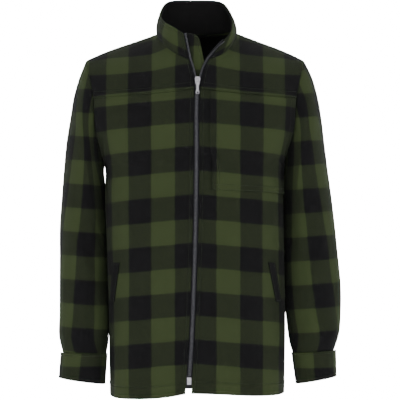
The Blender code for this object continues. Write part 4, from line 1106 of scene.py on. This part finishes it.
class Graph:
    """A node tree that is written in few lines."""

    def __init__(self, tree: bpy.types.NodeTree) -> None:
        """Starts on a tree.

        Args:
            tree: The tree that the nodes are added to.
        """
        self.tree = tree

    def add(self, kind: str, inputs: dict | None = None, **settings: object) -> bpy.types.Node:
        """Adds a node, links or sets its inputs, and returns it.

        Args:
            kind: The node's type without its ShaderNode prefix.
            inputs: A socket or a value for each input, by its name or number.
            settings: The node's own properties.

        Returns:
            The node.
        """
        node = self.tree.nodes.new(kind if kind.startswith("Node") else f"ShaderNode{kind}")
        for key, value in settings.items():
            setattr(node, key, value)
        for key, value in (inputs or {}).items():
            if isinstance(value, bpy.types.NodeSocket):
                self.tree.links.new(value, node.inputs[key])
            else:
                node.inputs[key].default_value = value
        return node

    def math(self, operation: str, *values: object) -> bpy.types.NodeSocket:
        """The result of a math node."""
        return self.add("Math", dict(enumerate(values)), operation=operation).outputs[0]

    def mix(self, factor: object, first: object, second: object) -> bpy.types.NodeSocket:
        """A mix of two colours by a factor."""
        node = self.add("Mix", {0: factor, 6: first, 7: second}, data_type="RGBA")
        return node.outputs[2]

    def noise(self, vector: object, scale: float, detail: float = 2.0, rough: float = 0.55) -> bpy.types.NodeSocket:
        """The value of a noise texture."""
        inputs = {"Vector": vector, "Scale": scale, "Detail": detail, "Roughness": rough}
        return self.add("TexNoise", inputs).outputs[0]

    def ranged(self, value: object, low: float, high: float, to_low: float, to_high: float) -> bpy.types.NodeSocket:
        """A value carried smoothly from one range to another and held at its ends."""
        inputs = {0: value, 1: low, 2: high, 3: to_low, 4: to_high}
        return self.add("MapRange", inputs, interpolation_type="SMOOTHSTEP").outputs[0]


def new_group(name: str, inputs: dict[str, str], outputs: dict[str, str]) -> tuple[Graph, bpy.types.Node, bpy.types.Node]:
    """Starts a node group with named sockets and returns its graph, input node and output node."""
    tree = bpy.data.node_groups.new(name, "ShaderNodeTree")
    for label, kind in inputs.items():
        tree.interface.new_socket(label, in_out="INPUT", socket_type=kind)
    for label, kind in outputs.items():
        tree.interface.new_socket(label, in_out="OUTPUT", socket_type=kind)
    graph = Graph(tree)
    return graph, graph.add("NodeGroupInput"), graph.add("NodeGroupOutput")


def check_group() -> bpy.types.NodeTree:
    """Squares of the check: 0 in the dark half and 1 in the light half of each repeat, with fuzzy borders."""
    graph, given, result = new_group(
        "buffalo_check",
        {"Vector": "NodeSocketVector", "Across": "NodeSocketFloat", "Down": "NodeSocketFloat", "Fuzz": "NodeSocketFloat"},
        {"Columns": "NodeSocketFloat", "Rows": "NodeSocketFloat"},
    )
    parts = graph.add("SeparateXYZ", {0: given.outputs["Vector"]})
    fibre = graph.noise(given.outputs["Vector"], 700.0, 1.0)
    wander = graph.noise(given.outputs["Vector"], 55.0, 1.0)
    for socket, repeat, label in ((0, "Across", "Columns"), (1, "Down", "Rows")):
        turned = graph.math("MULTIPLY", graph.math("SUBTRACT", fibre if socket else wander, 0.5), 0.0016)
        both = graph.math("ADD", turned, graph.math("MULTIPLY", graph.math("SUBTRACT", fibre, 0.5), 0.0030))
        place_on = graph.math("ADD", parts.outputs[socket], both)
        turns = graph.math("SUBTRACT", graph.math("DIVIDE", place_on, given.outputs[repeat]), 0.25)
        there = graph.math("PINGPONG", turns, 0.5)
        sharp = graph.math("DIVIDE", graph.math("SUBTRACT", there, 0.25), given.outputs["Fuzz"])
        graph.tree.links.new(graph.ranged(sharp, -0.5, 0.5, 0.0, 1.0), result.inputs[label])
    return graph.tree


def twill_group() -> bpy.types.NodeTree:
    """Diagonal twill ribs and brushed nap: which yarn is on top, and the height of the surface."""
    graph, given, result = new_group(
        "twill_and_nap",
        {"Vector": "NodeSocketVector", "Rib": "NodeSocketFloat", "Nap": "NodeSocketFloat"},
        {"Warp": "NodeSocketFloat", "Height": "NodeSocketFloat", "Fleck": "NodeSocketFloat"},
    )
    vector = given.outputs["Vector"]
    parts = graph.add("SeparateXYZ", {0: vector})
    loose = graph.math("MULTIPLY", graph.math("SUBTRACT", graph.noise(vector, 420.0, 2.0), 0.5), 0.0016)
    diagonal = graph.math("ADD", graph.math("ADD", parts.outputs[0], parts.outputs[1]), loose)
    wave = graph.math("SINE", graph.math("DIVIDE", graph.math("MULTIPLY", diagonal, 6.2832), given.outputs["Rib"]))
    nap = graph.noise(vector, 1500.0, 3.0, 0.7)
    tuft = graph.noise(vector, 260.0, 3.0, 0.65)
    fleck = graph.math("ADD", graph.math("MULTIPLY", nap, 0.5), graph.math("MULTIPLY", tuft, 0.5))
    graph.tree.links.new(graph.math("ADD", graph.math("MULTIPLY", wave, 0.26), 0.5), result.inputs["Warp"])
    ribs = graph.math("MULTIPLY", wave, 0.30)
    height = graph.math("ADD", ribs, graph.math("MULTIPLY", fleck, given.outputs["Nap"]))
    graph.tree.links.new(height, result.inputs["Height"])
    graph.tree.links.new(fleck, result.inputs["Fleck"])
    return graph.tree


def wear_group() -> bpy.types.NodeTree:
    """Handling marks on metal: fine scratches along one way and slow blotches, both from noise."""
    graph, given, result = new_group(
        "handling_marks", {"Vector": "NodeSocketVector"}, {"Scratches": "NodeSocketFloat", "Blotches": "NodeSocketFloat"}
    )
    stretched = graph.add("Mapping", {"Vector": given.outputs["Vector"], "Scale": (9000.0, 9000.0, 400.0)})
    graph.tree.links.new(graph.noise(stretched.outputs[0], 1.0, 3.0, 0.6), result.inputs["Scratches"])
    graph.tree.links.new(graph.noise(given.outputs["Vector"], 260.0, 3.0), result.inputs["Blotches"])
    return graph.tree


@dataclass(frozen=True)
class WoolFinish:
    """Brushed wool twill in a two-colour check: dark and light yarns cross, and mix where they meet."""

    dark: tuple[float, float, float] = (0.0022, 0.0022, 0.0024)
    light: tuple[float, float, float] = (0.0138, 0.0190, 0.0072)
    fleck: float = 0.55
    contrast: float = 1.6
    sheen: float = 0.02
    bump: float = 0.55

    def build(self, name: str) -> bpy.types.Material:
        """The wool's material, on the weave UV map."""
        made = bpy.data.materials.new(name)
        made.use_nodes = True
        graph = Graph(made.node_tree)
        shader = made.node_tree.nodes["Principled BSDF"]
        weave = graph.add("UVMap", uv_map="weave").outputs[0]
        squares = graph.add(
            "Group", {}, node_tree=shared("buffalo_check", check_group)
        )
        twill = graph.add("Group", {}, node_tree=shared("twill_and_nap", twill_group))
        for node in (squares, twill):
            graph.tree.links.new(weave, node.inputs["Vector"])
        squares.inputs["Across"].default_value = CHECK_ACROSS
        squares.inputs["Down"].default_value = CHECK_DOWN
        squares.inputs["Fuzz"].default_value = 0.030
        twill.inputs["Rib"].default_value = 0.0024
        twill.inputs["Nap"].default_value = 0.9
        warp = twill.outputs["Warp"]
        column = graph.math("MULTIPLY", squares.outputs["Columns"], warp)
        row = graph.math("MULTIPLY", squares.outputs["Rows"], graph.math("SUBTRACT", 1.0, warp))
        share = graph.math("ADD", column, row)
        spread = graph.math("MULTIPLY", graph.math("SUBTRACT", twill.outputs["Fleck"], 0.5), self.fleck)
        flecked = graph.math("ADD", share, graph.math("MULTIPLY", spread, graph.math("ADD", share, 0.25)))
        lit = graph.math("POWER", graph.ranged(flecked, 0.0, 1.0, 0.0, 1.0), self.contrast)
        colour = graph.mix(lit, (*self.dark, 1.0), (*self.light, 1.0))
        graph.tree.links.new(colour, shader.inputs["Base Color"])
        rough = graph.ranged(twill.outputs["Fleck"], 0.3, 0.7, 0.86, 1.0)
        graph.tree.links.new(rough, shader.inputs["Roughness"])
        inputs = {"Height": twill.outputs["Height"], "Strength": self.bump, "Distance": 0.0006}
        graph.tree.links.new(graph.add("Bump", inputs).outputs[0], shader.inputs["Normal"])
        shader.inputs["Sheen Weight"].default_value = self.sheen
        shader.inputs["Sheen Roughness"].default_value = 0.45
        shader.inputs["Sheen Tint"].default_value = (0.55, 0.60, 0.52, 1.0)
        shader.inputs["Specular IOR Level"].default_value = 0.05
        return made


@dataclass(frozen=True)
class PlainClothFinish:
    """A plain woven or knitted cloth: fine cross ribs and a little colour change."""

    dark: tuple[float, float, float]
    light: tuple[float, float, float]
    rib: float
    roughness: float = 0.9
    sheen: float = 0.1

    def build(self, name: str) -> bpy.types.Material:
        """The cloth's material, on the weave UV map: two crossed sine ribs over noise."""
        made = bpy.data.materials.new(name)
        made.use_nodes = True
        graph = Graph(made.node_tree)
        shader = made.node_tree.nodes["Principled BSDF"]
        weave = graph.add("UVMap", uv_map="weave").outputs[0]
        parts = graph.add("SeparateXYZ", {0: weave})
        waves = [
            graph.math("SINE", graph.math("MULTIPLY", parts.outputs[k], 6.2832 / self.rib)) for k in (0, 1)
        ]
        crossed = graph.math("MULTIPLY", waves[0], waves[1])
        fuzz = graph.noise(weave, 900.0, 3.0, 0.6)
        height = graph.math("ADD", graph.math("MULTIPLY", crossed, 0.35), fuzz)
        colour = graph.mix(graph.ranged(height, 0.0, 1.0, 0.0, 1.0), (*self.dark, 1.0), (*self.light, 1.0))
        graph.tree.links.new(colour, shader.inputs["Base Color"])
        rough = graph.ranged(fuzz, 0.3, 0.7, self.roughness - 0.06, min(self.roughness + 0.06, 1.0))
        graph.tree.links.new(rough, shader.inputs["Roughness"])
        inputs = {"Height": height, "Strength": 0.4, "Distance": 0.0004}
        graph.tree.links.new(graph.add("Bump", inputs).outputs[0], shader.inputs["Normal"])
        shader.inputs["Sheen Weight"].default_value = self.sheen
        shader.inputs["Specular IOR Level"].default_value = 0.06
        return made


@dataclass(frozen=True)
class MetalFinish:
    """Plated or coated metal with handling marks."""

    colour: tuple[float, float, float]
    worn: tuple[float, float, float]
    metallic: float
    roughness: float

    def build(self, name: str) -> bpy.types.Material:
        """The metal's material, on object coordinates."""
        made = bpy.data.materials.new(name)
        made.use_nodes = True
        graph = Graph(made.node_tree)
        shader = made.node_tree.nodes["Principled BSDF"]
        place_on = graph.add("TexCoord").outputs["Object"]
        marks = graph.add("Group", {"Vector": place_on}, node_tree=shared("handling_marks", wear_group))
        worn = graph.ranged(marks.outputs["Blotches"], 0.35, 0.75, 0.0, 1.0)
        colour = graph.mix(worn, (*self.colour, 1.0), (*self.worn, 1.0))
        graph.tree.links.new(colour, shader.inputs["Base Color"])
        low, high = self.roughness - 0.08, self.roughness + 0.12
        graph.tree.links.new(graph.ranged(marks.outputs["Scratches"], 0.3, 0.7, low, high), shader.inputs["Roughness"])
        inputs = {"Height": marks.outputs["Scratches"], "Strength": 0.12, "Distance": 0.0001}
        graph.tree.links.new(graph.add("Bump", inputs).outputs[0], shader.inputs["Normal"])
        shader.inputs["Metallic"].default_value = self.metallic
        return made


def shared(name: str, build: object) -> bpy.types.NodeTree:
    """A node group that is built once and placed in each material that uses it."""
    return bpy.data.node_groups.get(name) or build()


@dataclass
class Studio:
    """A pale floor that sweeps up into a wall all round, soft lights, and the camera at the photograph's angle."""

    camera_at: tuple[float, float, float] = (0.0094, -6.0, -0.3453)
    lens: float = 259.6
    floor_height: float = -1.05
    sweep: float = 0.8
    radius: float = 9.0
    wall_height: float = 6.0
    sides: int = 96
    world: float = 1.0
    paper_glow: float = 16.0

    def floor(self) -> bpy.types.Object:
        """The floor: a disc, a quarter circle and a wall, turned round the jacket like a bowl."""
        turn = np.linspace(0, np.pi / 2, 25)
        out = np.concatenate([[0.01], self.radius - self.sweep + self.sweep * np.sin(turn), [self.radius]])
        low = self.floor_height
        z = np.concatenate([[low], low + self.sweep * (1 - np.cos(turn)), [low + self.wall_height]])
        way = np.arange(self.sides) * 2 * np.pi / self.sides
        points = np.stack([np.outer(out, np.cos(way)), np.outer(out, np.sin(way)), np.outer(z, np.ones(self.sides))], axis=-1)
        i, j = np.meshgrid(np.arange(len(out) - 1) * self.sides, np.arange(self.sides), indexing="ij")
        after = (j + 1) % self.sides
        faces = np.stack([i + j, i + self.sides + j, i + self.sides + after, i + after], axis=-1).reshape(-1, 4)
        mesh = bpy.data.meshes.new("floor")
        mesh.from_pydata(points.reshape(-1, 3), [], faces.tolist())
        mesh.shade_smooth()
        made = bpy.data.objects.new("floor", mesh)
        bpy.context.collection.objects.link(made)
        finish = bpy.data.materials.new("studio_paper")
        finish.use_nodes = True
        graph = Graph(finish.node_tree)
        shader = finish.node_tree.nodes["Principled BSDF"]
        place_on = graph.add("TexCoord").outputs["Object"]
        tone = graph.ranged(graph.noise(place_on, 0.8, 1.0), 0.3, 0.7, 0.0, 1.0)
        colour = graph.mix(tone, (0.93, 0.93, 0.93, 1.0), (0.96, 0.96, 0.96, 1.0))
        graph.tree.links.new(colour, shader.inputs["Base Color"])
        shader.inputs["Roughness"].default_value = 1.0
        shader.inputs["Emission Color"].default_value = (1.0, 1.0, 1.0, 1.0)
        seen = graph.add("LightPath").outputs["Is Camera Ray"]
        graph.tree.links.new(graph.ranged(seen, 0.0, 1.0, 1.0, self.paper_glow), shader.inputs["Emission Strength"])
        mesh.materials.append(finish)
        return made

    def light(self, name: str, at: tuple[float, float, float], size: float, power: float) -> None:
        """A square soft light that points at the jacket's middle."""
        data = bpy.data.lights.new(name, "AREA")
        data.size = size
        data.energy = power
        made = bpy.data.objects.new(name, data)
        made.location = at
        aim = np.array([0.0, 0.0, -0.35]) - np.array(at)
        made.rotation_euler = (np.arctan2(np.hypot(aim[0], aim[1]), -aim[2]), 0.0, np.arctan2(aim[1], aim[0]) - np.pi / 2)
        bpy.context.collection.objects.link(made)

    def build(self) -> None:
        """Makes the floor, the lights, the pale world and the camera."""
        self.floor()
        self.light("key", (-1.9, -3.6, 1.6), 2.2, 95.0)
        self.light("fill", (2.4, -3.4, 0.4), 2.6, 60.0)
        self.light("over", (0.0, -0.6, 2.6), 2.4, 50.0)
        self.light("behind", (0.0, 1.9, 1.9), 1.6, 30.0)
        world = bpy.data.worlds.new("studio_air")
        world.use_nodes = True
        world.node_tree.nodes["Background"].inputs[0].default_value = (1.0, 1.0, 1.0, 1.0)
        world.node_tree.nodes["Background"].inputs[1].default_value = self.world
        bpy.context.scene.world = world
        data = bpy.data.cameras.new("camera")
        data.lens = self.lens
        data.sensor_width = 36.0
        data.clip_end = 60.0
        camera = bpy.data.objects.new("camera", data)
        camera.location = self.camera_at
        camera.rotation_euler = (np.pi / 2, 0.0, 0.0)
        bpy.context.collection.objects.link(camera)
        bpy.context.scene.camera = camera


@dataclass
class Finishes:
    """Every material of the jacket, made once."""

    wool: bpy.types.Material = field(default_factory=lambda: WoolFinish().build("check_wool"))
    lining: bpy.types.Material = field(
        default_factory=lambda: PlainClothFinish((0.0010, 0.0010, 0.0010), (0.0030, 0.0030, 0.0030), 0.0012, 0.9, 0.0).build("black_lining")
    )
    tape: bpy.types.Material = field(
        default_factory=lambda: PlainClothFinish((0.003, 0.003, 0.004), (0.009, 0.009, 0.011), 0.0009, 0.7, 0.02).build("zip_tape_weave")
    )
    thread: bpy.types.Material = field(
        default_factory=lambda: PlainClothFinish((0.005, 0.006, 0.004), (0.012, 0.015, 0.009), 0.0008, 0.6, 0.02).build("sewing_thread")
    )
    teeth: bpy.types.Material = field(
        default_factory=lambda: MetalFinish((0.030, 0.030, 0.034), (0.055, 0.055, 0.060), 0.9, 0.42).build("coated_teeth")
    )
    metal: bpy.types.Material = field(
        default_factory=lambda: MetalFinish((0.17, 0.165, 0.18), (0.26, 0.255, 0.27), 1.0, 0.36).build("satin_metal")
    )


@dataclass
class Jacket:
    """The whole jacket: builds every cloth piece, sews them, and dresses the frame's own zip parts."""

    finishes: Finishes = field(default_factory=Finishes)
    body: BodyForm = field(default_factory=BodyForm)
    collar: Collar = field(default_factory=Collar)
    zip: Zip = field(default_factory=Zip)
    stitching: Stitching = field(default_factory=Stitching)
    front_folds: dict[Side, Rows] = field(default_factory=lambda: FRONT_FOLDS)
    cloths: dict[str, Cloth] = field(default_factory=dict)

    def sheet(self, name: str, cloth: Cloth, node: str, slot: str = "wool") -> bpy.types.Object:
        """Makes a cloth piece and its stitches.

        Args:
            name: The piece's name.
            cloth: Its grid.
            node: The frame's node that it stands for.
            slot: Its finish: lining, tape, or else wool.

        Returns:
            The piece.
        """
        finish = self.finishes.lining if slot == "lining" else self.finishes.tape if slot == "tape" else self.finishes.wool
        finer = cloth.finer()
        made = make_wall(name, finer, finish)
        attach(made, "jacket")
        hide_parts(node)
        sewing = self.stitching.build(f"stitches_{node}", finer, self.finishes.thread)
        if sewing is not None:
            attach(sewing, "jacket")
        size = np.ptp(cloth.weave.reshape(-1, 2), axis=0)
        size[0] = max(size[0], NARROWEST_CUT)
        return made

    def shape(self) -> None:
        """Works out every sewn piece on the body form, and gives the pieces that meet one normal at seams."""
        rings = {side: self.body.armhole(side) for side in Side}
        neck = self.collar.neck()
        for side, sleeve in ((Side.RIGHT, SLEEVE_RIGHT), (Side.LEFT, SLEEVE_LEFT)):
            front = Front(side, self.body, self.front_folds[side]).build(rings[side])
            stretch = neck[0] if side is Side.RIGHT else neck[2][::-1]
            self.cloths[f"front_{side.word}"] = front
            self.cloths[f"yoke_{side.word}"] = FrontYoke(side, self.body).build(front, stretch[:, :3], rings[side])
            self.cloths[f"sleeve_{side.word}"] = sleeve.build(rings[side])
        back = Back(self.body, BACK_FOLDS)
        self.cloths["back"] = back.panel(rings)
        self.cloths["yoke_back"] = back.yoke(self.cloths["back"], neck[1][:, :3], rings)
        self.cloths["collar"] = self.collar.build(neck)
        sewn(list(self.cloths.values()))

    def dress_sewn(self) -> None:
        """Makes the sewn pieces, each trimmed back by half the seam gap where it meets another."""
        half = SEAM_GAP / 2
        seams = {
            "front": ({"right": SEAM_GAP, "top": half}, Held.HUNG, ["yoke"]),
            "yoke": ({"right": half, "foot": half, "top": half * 0.4}, Held.LAID, ["neck"]),
            "back": ({"left": half, "right": half, "top": half}, Held.HUNG, ["yoke_back"]),
            "yoke_back": ({"left": half, "right": half, "foot": half, "top": half * 0.4}, Held.LAID, ["neck"]),
            "sleeve": ({"foot": SEAM_GAP}, Held.HUNG, ["yoke"]),
            "collar": ({"foot": half * 0.4}, Held.HUNG, ["neck"]),
        }
        for name, cloth in self.cloths.items():
            trims, held, on = seams.get(name) or seams[name.split("_")[0]]
            copy = Cloth(**{**cloth.__dict__})
            copy.trimmed(**trims)
            self.sheet(f"{name}_cloth", copy, name)

    def dress_added(self) -> None:
        """Makes the cuffs, linings, pocket, welts and guard."""
        for cuff in (CUFF_RIGHT, CUFF_LEFT):
            word = cuff.sleeve.side.word
            self.sheet(f"cuff_{word}_cloth", cuff.build(), f"cuff_{word}")
        for node, under in (("collar_lining", "collar"), ("back_lining", "yoke_back")):
            cloth = Lining().build(self.cloths[under])
            self.sheet(f"{node}_cloth", cloth, node, "lining")
        pocket = ChestPocket().build(self.cloths["front_left"])
        self.sheet("chest_pocket_cloth", pocket, "chest_pocket")
        for welt in (WELT_RIGHT, WELT_LEFT):
            word = welt.side.word
            cloth = welt.build(self.cloths[f"front_{word}"])
            self.sheet(f"welt_{word}_cloth", cloth, f"welt_{word}")

    def dress_zip(self) -> None:
        """Makes the tapes, teeth and guard, and gives the frame's slider, pull tab and box their metal."""
        for side in Side:
            word = side.word
            line = EdgeLine.along(
                self.cloths[f"front_{word}"], self.cloths[f"yoke_{word}"], self.cloths["collar"], side
            )
            tape = self.zip.tape_cloth(line)
            self.sheet(f"zip_tape_{word}_weave", tape, f"zip_tape_{word}", "tape")
            heights = line.above(self.zip.teeth_foot)
            closed_to = lengths(heights.points)[np.searchsorted(heights.points[:, 2], SLIDER_TOP)]
            offset = 0.0 if side is Side.RIGHT else 0.5
            teeth = self.zip.teeth_mesh(f"zip_teeth_{word}_row", line, offset, closed_to, self.finishes.teeth)
            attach(teeth, "jacket")
            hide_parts(f"zip_teeth_{word}")
            log.info("%s: %d points", teeth.name, len(teeth.data.vertices))
            if side is Side.RIGHT:
                self.sheet("zip_guard_cloth", self.zip.guard_cloth(line), "zip_guard")
        for node in ("zip_slider", "zip_box", "pull_tab"):
            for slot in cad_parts[node].material_slots:
                slot.material = self.finishes.metal
            log.info("%s keeps its own shape in satin metal", node)


SLIDER_TOP = -0.104
FRONT_FOLDS = {
    Side.RIGHT: (
        (0.78, 0.62, 0.080, 0.16, 0.0040, 0.10),
        (0.60, 0.30, 0.120, 0.14, 0.0030, -0.15),
        (0.30, 0.14, 0.120, 0.12, 0.0030, 0.10),
        (0.90, 0.74, 0.028, 0.10, 0.0030, -0.20),
        (0.86, 0.66, 0.024, 0.12, -0.0020, 0.18),
        (0.70, 0.86, 0.050, 0.06, 0.0018, 0.60),
        (0.45, 0.52, 0.060, 0.20, 0.0016, 0.12),
        (0.20, 0.70, 0.050, 0.16, 0.0012, -0.08),
        (0.72, 0.10, 0.050, 0.12, 0.0024, -0.10),
        (0.52, 0.05, 0.045, 0.09, -0.0018, 0.05),
        (0.14, 0.36, 0.050, 0.12, 0.0012, 0.05),
        (0.88, 0.36, 0.035, 0.14, 0.0022, 0.08),
    ),
    Side.LEFT: (
        (0.78, 0.62, 0.080, 0.16, 0.0040, 0.10),
        (0.60, 0.30, 0.120, 0.14, 0.0030, -0.15),
        (0.30, 0.14, 0.120, 0.12, 0.0030, 0.10),
        (0.91, 0.72, 0.026, 0.11, 0.0034, -0.16),
        (0.87, 0.64, 0.022, 0.10, -0.0022, 0.14),
        (0.66, 0.88, 0.060, 0.05, 0.0014, 0.50),
        (0.40, 0.46, 0.055, 0.16, 0.0016, -0.10),
        (0.16, 0.26, 0.045, 0.14, 0.0014, 0.06),
        (0.76, 0.12, 0.050, 0.14, 0.0026, 0.12),
        (0.48, 0.06, 0.050, 0.10, -0.0018, -0.04),
        (0.90, 0.40, 0.034, 0.12, 0.0024, 0.10),
        (0.24, 0.06, 0.040, 0.08, 0.0014, 0.00),
    ),
}
BACK_FOLDS = (
    (0.16, 0.70, 0.050, 0.18, 0.0045, 0.10),
    (0.84, 0.70, 0.050, 0.18, 0.0045, -0.10),
    (0.36, 0.34, 0.070, 0.14, 0.0035, 0.08),
    (0.66, 0.30, 0.070, 0.14, 0.0035, -0.08),
    (0.50, 0.10, 0.060, 0.10, 0.0030, 0.00),
    (0.10, 0.76, 0.016, 0.12, 0.0034, 0.18),
    (0.91, 0.73, 0.015, 0.13, 0.0032, -0.16),
    (0.13, 0.60, 0.014, 0.10, -0.0022, -0.12),
    (0.88, 0.62, 0.016, 0.09, -0.0020, 0.14),
    (0.28, 0.56, 0.030, 0.20, 0.0022, 0.06),
    (0.73, 0.52, 0.028, 0.18, 0.0024, -0.08),
    (0.22, 0.12, 0.024, 0.14, 0.0026, 0.05),
    (0.42, 0.08, 0.020, 0.10, -0.0016, -0.04),
    (0.62, 0.07, 0.022, 0.12, -0.0018, 0.04),
    (0.80, 0.14, 0.024, 0.13, 0.0026, -0.06),
    (0.50, 0.78, 0.060, 0.10, 0.0016, 0.00),
)
SLEEVE_RIGHT = Sleeve(
    side=Side.RIGHT,
    rings=(
        (-0.2415, -0.0900, -0.1920, -0.2890, 0.078, 0.080, 0.004),
        (-0.2530, -0.1300, -0.1908, -0.3070, 0.081, 0.081, 0.003),
        (-0.2603, -0.1750, -0.1895, -0.3310, 0.082, 0.081, 0.002),
        (-0.2683, -0.2250, -0.1884, -0.3600, 0.080, 0.079, 0.001),
        (-0.2735, -0.2800, -0.1873, -0.3950, 0.077, 0.076, 0.000),
        (-0.2780, -0.3400, -0.1861, -0.4350, 0.073, 0.073, -0.002),
        (-0.2820, -0.4000, -0.1850, -0.4750, 0.069, 0.070, -0.005),
        (-0.2820, -0.4600, -0.1838, -0.5150, 0.066, 0.066, -0.009),
        (-0.2820, -0.5200, -0.1825, -0.5580, 0.062, 0.062, -0.014),
        (-0.2820, -0.5800, -0.1813, -0.6020, 0.057, 0.057, -0.019),
        (-0.2823, -0.6300, -0.1816, -0.6380, 0.051, 0.051, -0.023),
        (-0.2750, -0.6600, -0.1840, -0.6620, 0.044, 0.044, -0.025),
    ),
    folds=(
        (0.45, 0.50, 0.50, 0.120, -0.0042, 0.00),
        (0.16, 0.36, 0.14, 0.060, 0.0050, 0.10),
        (0.30, 0.42, 0.12, 0.050, 0.0035, -0.15),
        (0.52, 0.30, 0.10, 0.060, 0.0035, 0.30),
        (0.70, 0.18, 0.10, 0.050, 0.0030, -0.25),
        (0.55, 0.62, 0.12, 0.060, 0.0035, 0.20),
        (0.84, 0.30, 0.09, 0.050, 0.0030, 0.20),
        (0.10, 0.22, 0.06, 0.030, 0.0022, 0.30),
        (0.24, 0.28, 0.07, 0.024, -0.0020, 0.45),
        (0.38, 0.20, 0.05, 0.028, 0.0022, -0.50),
        (0.46, 0.38, 0.045, 0.030, 0.0026, 0.60),
        (0.60, 0.26, 0.040, 0.030, -0.0020, 0.70),
        (0.64, 0.42, 0.045, 0.034, 0.0026, -0.60),
        (0.77, 0.34, 0.035, 0.030, 0.0022, 0.60),
        (0.90, 0.20, 0.035, 0.028, 0.0020, -0.40),
        (0.92, 0.42, 0.030, 0.030, 0.0020, 0.40),
        (0.20, 0.66, 0.10, 0.040, 0.0035, -0.20),
        (0.36, 0.74, 0.06, 0.034, 0.0026, 0.40),
        (0.48, 0.80, 0.045, 0.030, 0.0026, -0.50),
        (0.66, 0.74, 0.045, 0.034, 0.0024, 0.50),
        (0.80, 0.66, 0.045, 0.030, 0.0022, -0.40),
    ),
    boundary=((-0.68, -0.2520), (-0.53, -0.2500), (-0.43, -0.2420), (-0.37, -0.2355), (-0.27, -0.2275), (-0.10, -0.2275)),
    row_anchor=(-0.2275, -0.3134),
    lean=0.07,
)
SLEEVE_LEFT = Sleeve(
    side=Side.LEFT,
    rings=(
        (0.2425, -0.0900, 0.1859, -0.2890, 0.078, 0.080, 0.004),
        (0.2540, -0.1300, 0.1850, -0.3070, 0.081, 0.081, 0.003),
        (0.2620, -0.1750, 0.1841, -0.3310, 0.082, 0.081, 0.002),
        (0.2680, -0.2250, 0.1844, -0.3600, 0.080, 0.079, 0.001),
        (0.2748, -0.2800, 0.1850, -0.3950, 0.077, 0.076, 0.000),
        (0.2830, -0.3400, 0.1858, -0.4350, 0.073, 0.073, -0.002),
        (0.2900, -0.4000, 0.1864, -0.4750, 0.069, 0.070, -0.005),
        (0.2960, -0.4600, 0.1868, -0.5150, 0.066, 0.066, -0.009),
        (0.3015, -0.5200, 0.1876, -0.5580, 0.062, 0.062, -0.014),
        (0.3015, -0.5750, 0.1914, -0.6020, 0.057, 0.057, -0.019),
        (0.2970, -0.6250, 0.1957, -0.6380, 0.051, 0.051, -0.023),
        (0.2872, -0.6550, 0.2006, -0.6600, 0.044, 0.044, -0.025),
    ),
    folds=(
        (0.45, 0.50, 0.50, 0.120, -0.0042, 0.00),
        (0.16, 0.36, 0.14, 0.060, 0.0045, 0.10),
        (0.33, 0.40, 0.12, 0.050, 0.0040, -0.20),
        (0.56, 0.26, 0.10, 0.060, 0.0040, 0.25),
        (0.72, 0.16, 0.09, 0.050, 0.0030, -0.30),
        (0.60, 0.64, 0.12, 0.060, 0.0035, 0.20),
        (0.86, 0.34, 0.08, 0.050, 0.0030, 0.20),
        (0.12, 0.20, 0.06, 0.028, 0.0020, 0.30),
        (0.22, 0.30, 0.08, 0.024, -0.0020, 0.40),
        (0.40, 0.22, 0.05, 0.030, 0.0022, -0.45),
        (0.49, 0.40, 0.045, 0.030, 0.0026, 0.55),
        (0.58, 0.18, 0.040, 0.030, -0.0018, 0.60),
        (0.66, 0.44, 0.045, 0.034, 0.0026, -0.60),
        (0.79, 0.26, 0.035, 0.028, 0.0022, 0.60),
        (0.91, 0.22, 0.035, 0.028, 0.0020, -0.40),
        (0.93, 0.44, 0.030, 0.030, 0.0020, 0.40),
        (0.22, 0.68, 0.10, 0.040, 0.0034, -0.20),
        (0.38, 0.76, 0.06, 0.034, 0.0026, 0.40),
        (0.50, 0.82, 0.045, 0.030, 0.0024, -0.50),
        (0.68, 0.72, 0.045, 0.034, 0.0026, 0.50),
        (0.82, 0.68, 0.045, 0.030, 0.0022, -0.40),
    ),
    boundary=((-0.66, 0.2590), (-0.55, 0.2430), (-0.44, 0.2330), (-0.34, 0.2230), (-0.24, 0.2170), (-0.12, 0.2030)),
    row_anchor=(0.2524, -0.4194),
    lean=0.07,
)
CUFF_RIGHT = Cuff(SLEEVE_RIGHT, (-0.2795, -0.7130, -0.1885, -0.7260, 0.046, 0.046, -0.027), -0.6881, -0.2378)
CUFF_LEFT = Cuff(SLEEVE_LEFT, (0.2885, -0.7100, 0.2095, -0.7250, 0.043, 0.043, -0.027), -0.6912, 0.2440)
WELT_RIGHT = Welt(Side.RIGHT, (-0.1540, -0.4720), (-0.1650, -0.5540))
WELT_LEFT = Welt(Side.LEFT, (0.1480, -0.4720), (0.1640, -0.5540))


def main() -> None:
    """Builds the jacket piece by piece, then the studio round it."""
    logging.basicConfig(level=logging.INFO, format="%(name)s %(message)s")
    jacket = Jacket()
    jacket.shape()
    jacket.dress_sewn()
    jacket.dress_added()
    jacket.dress_zip()
    Studio().build()


if __name__ == "__main__":
    main()
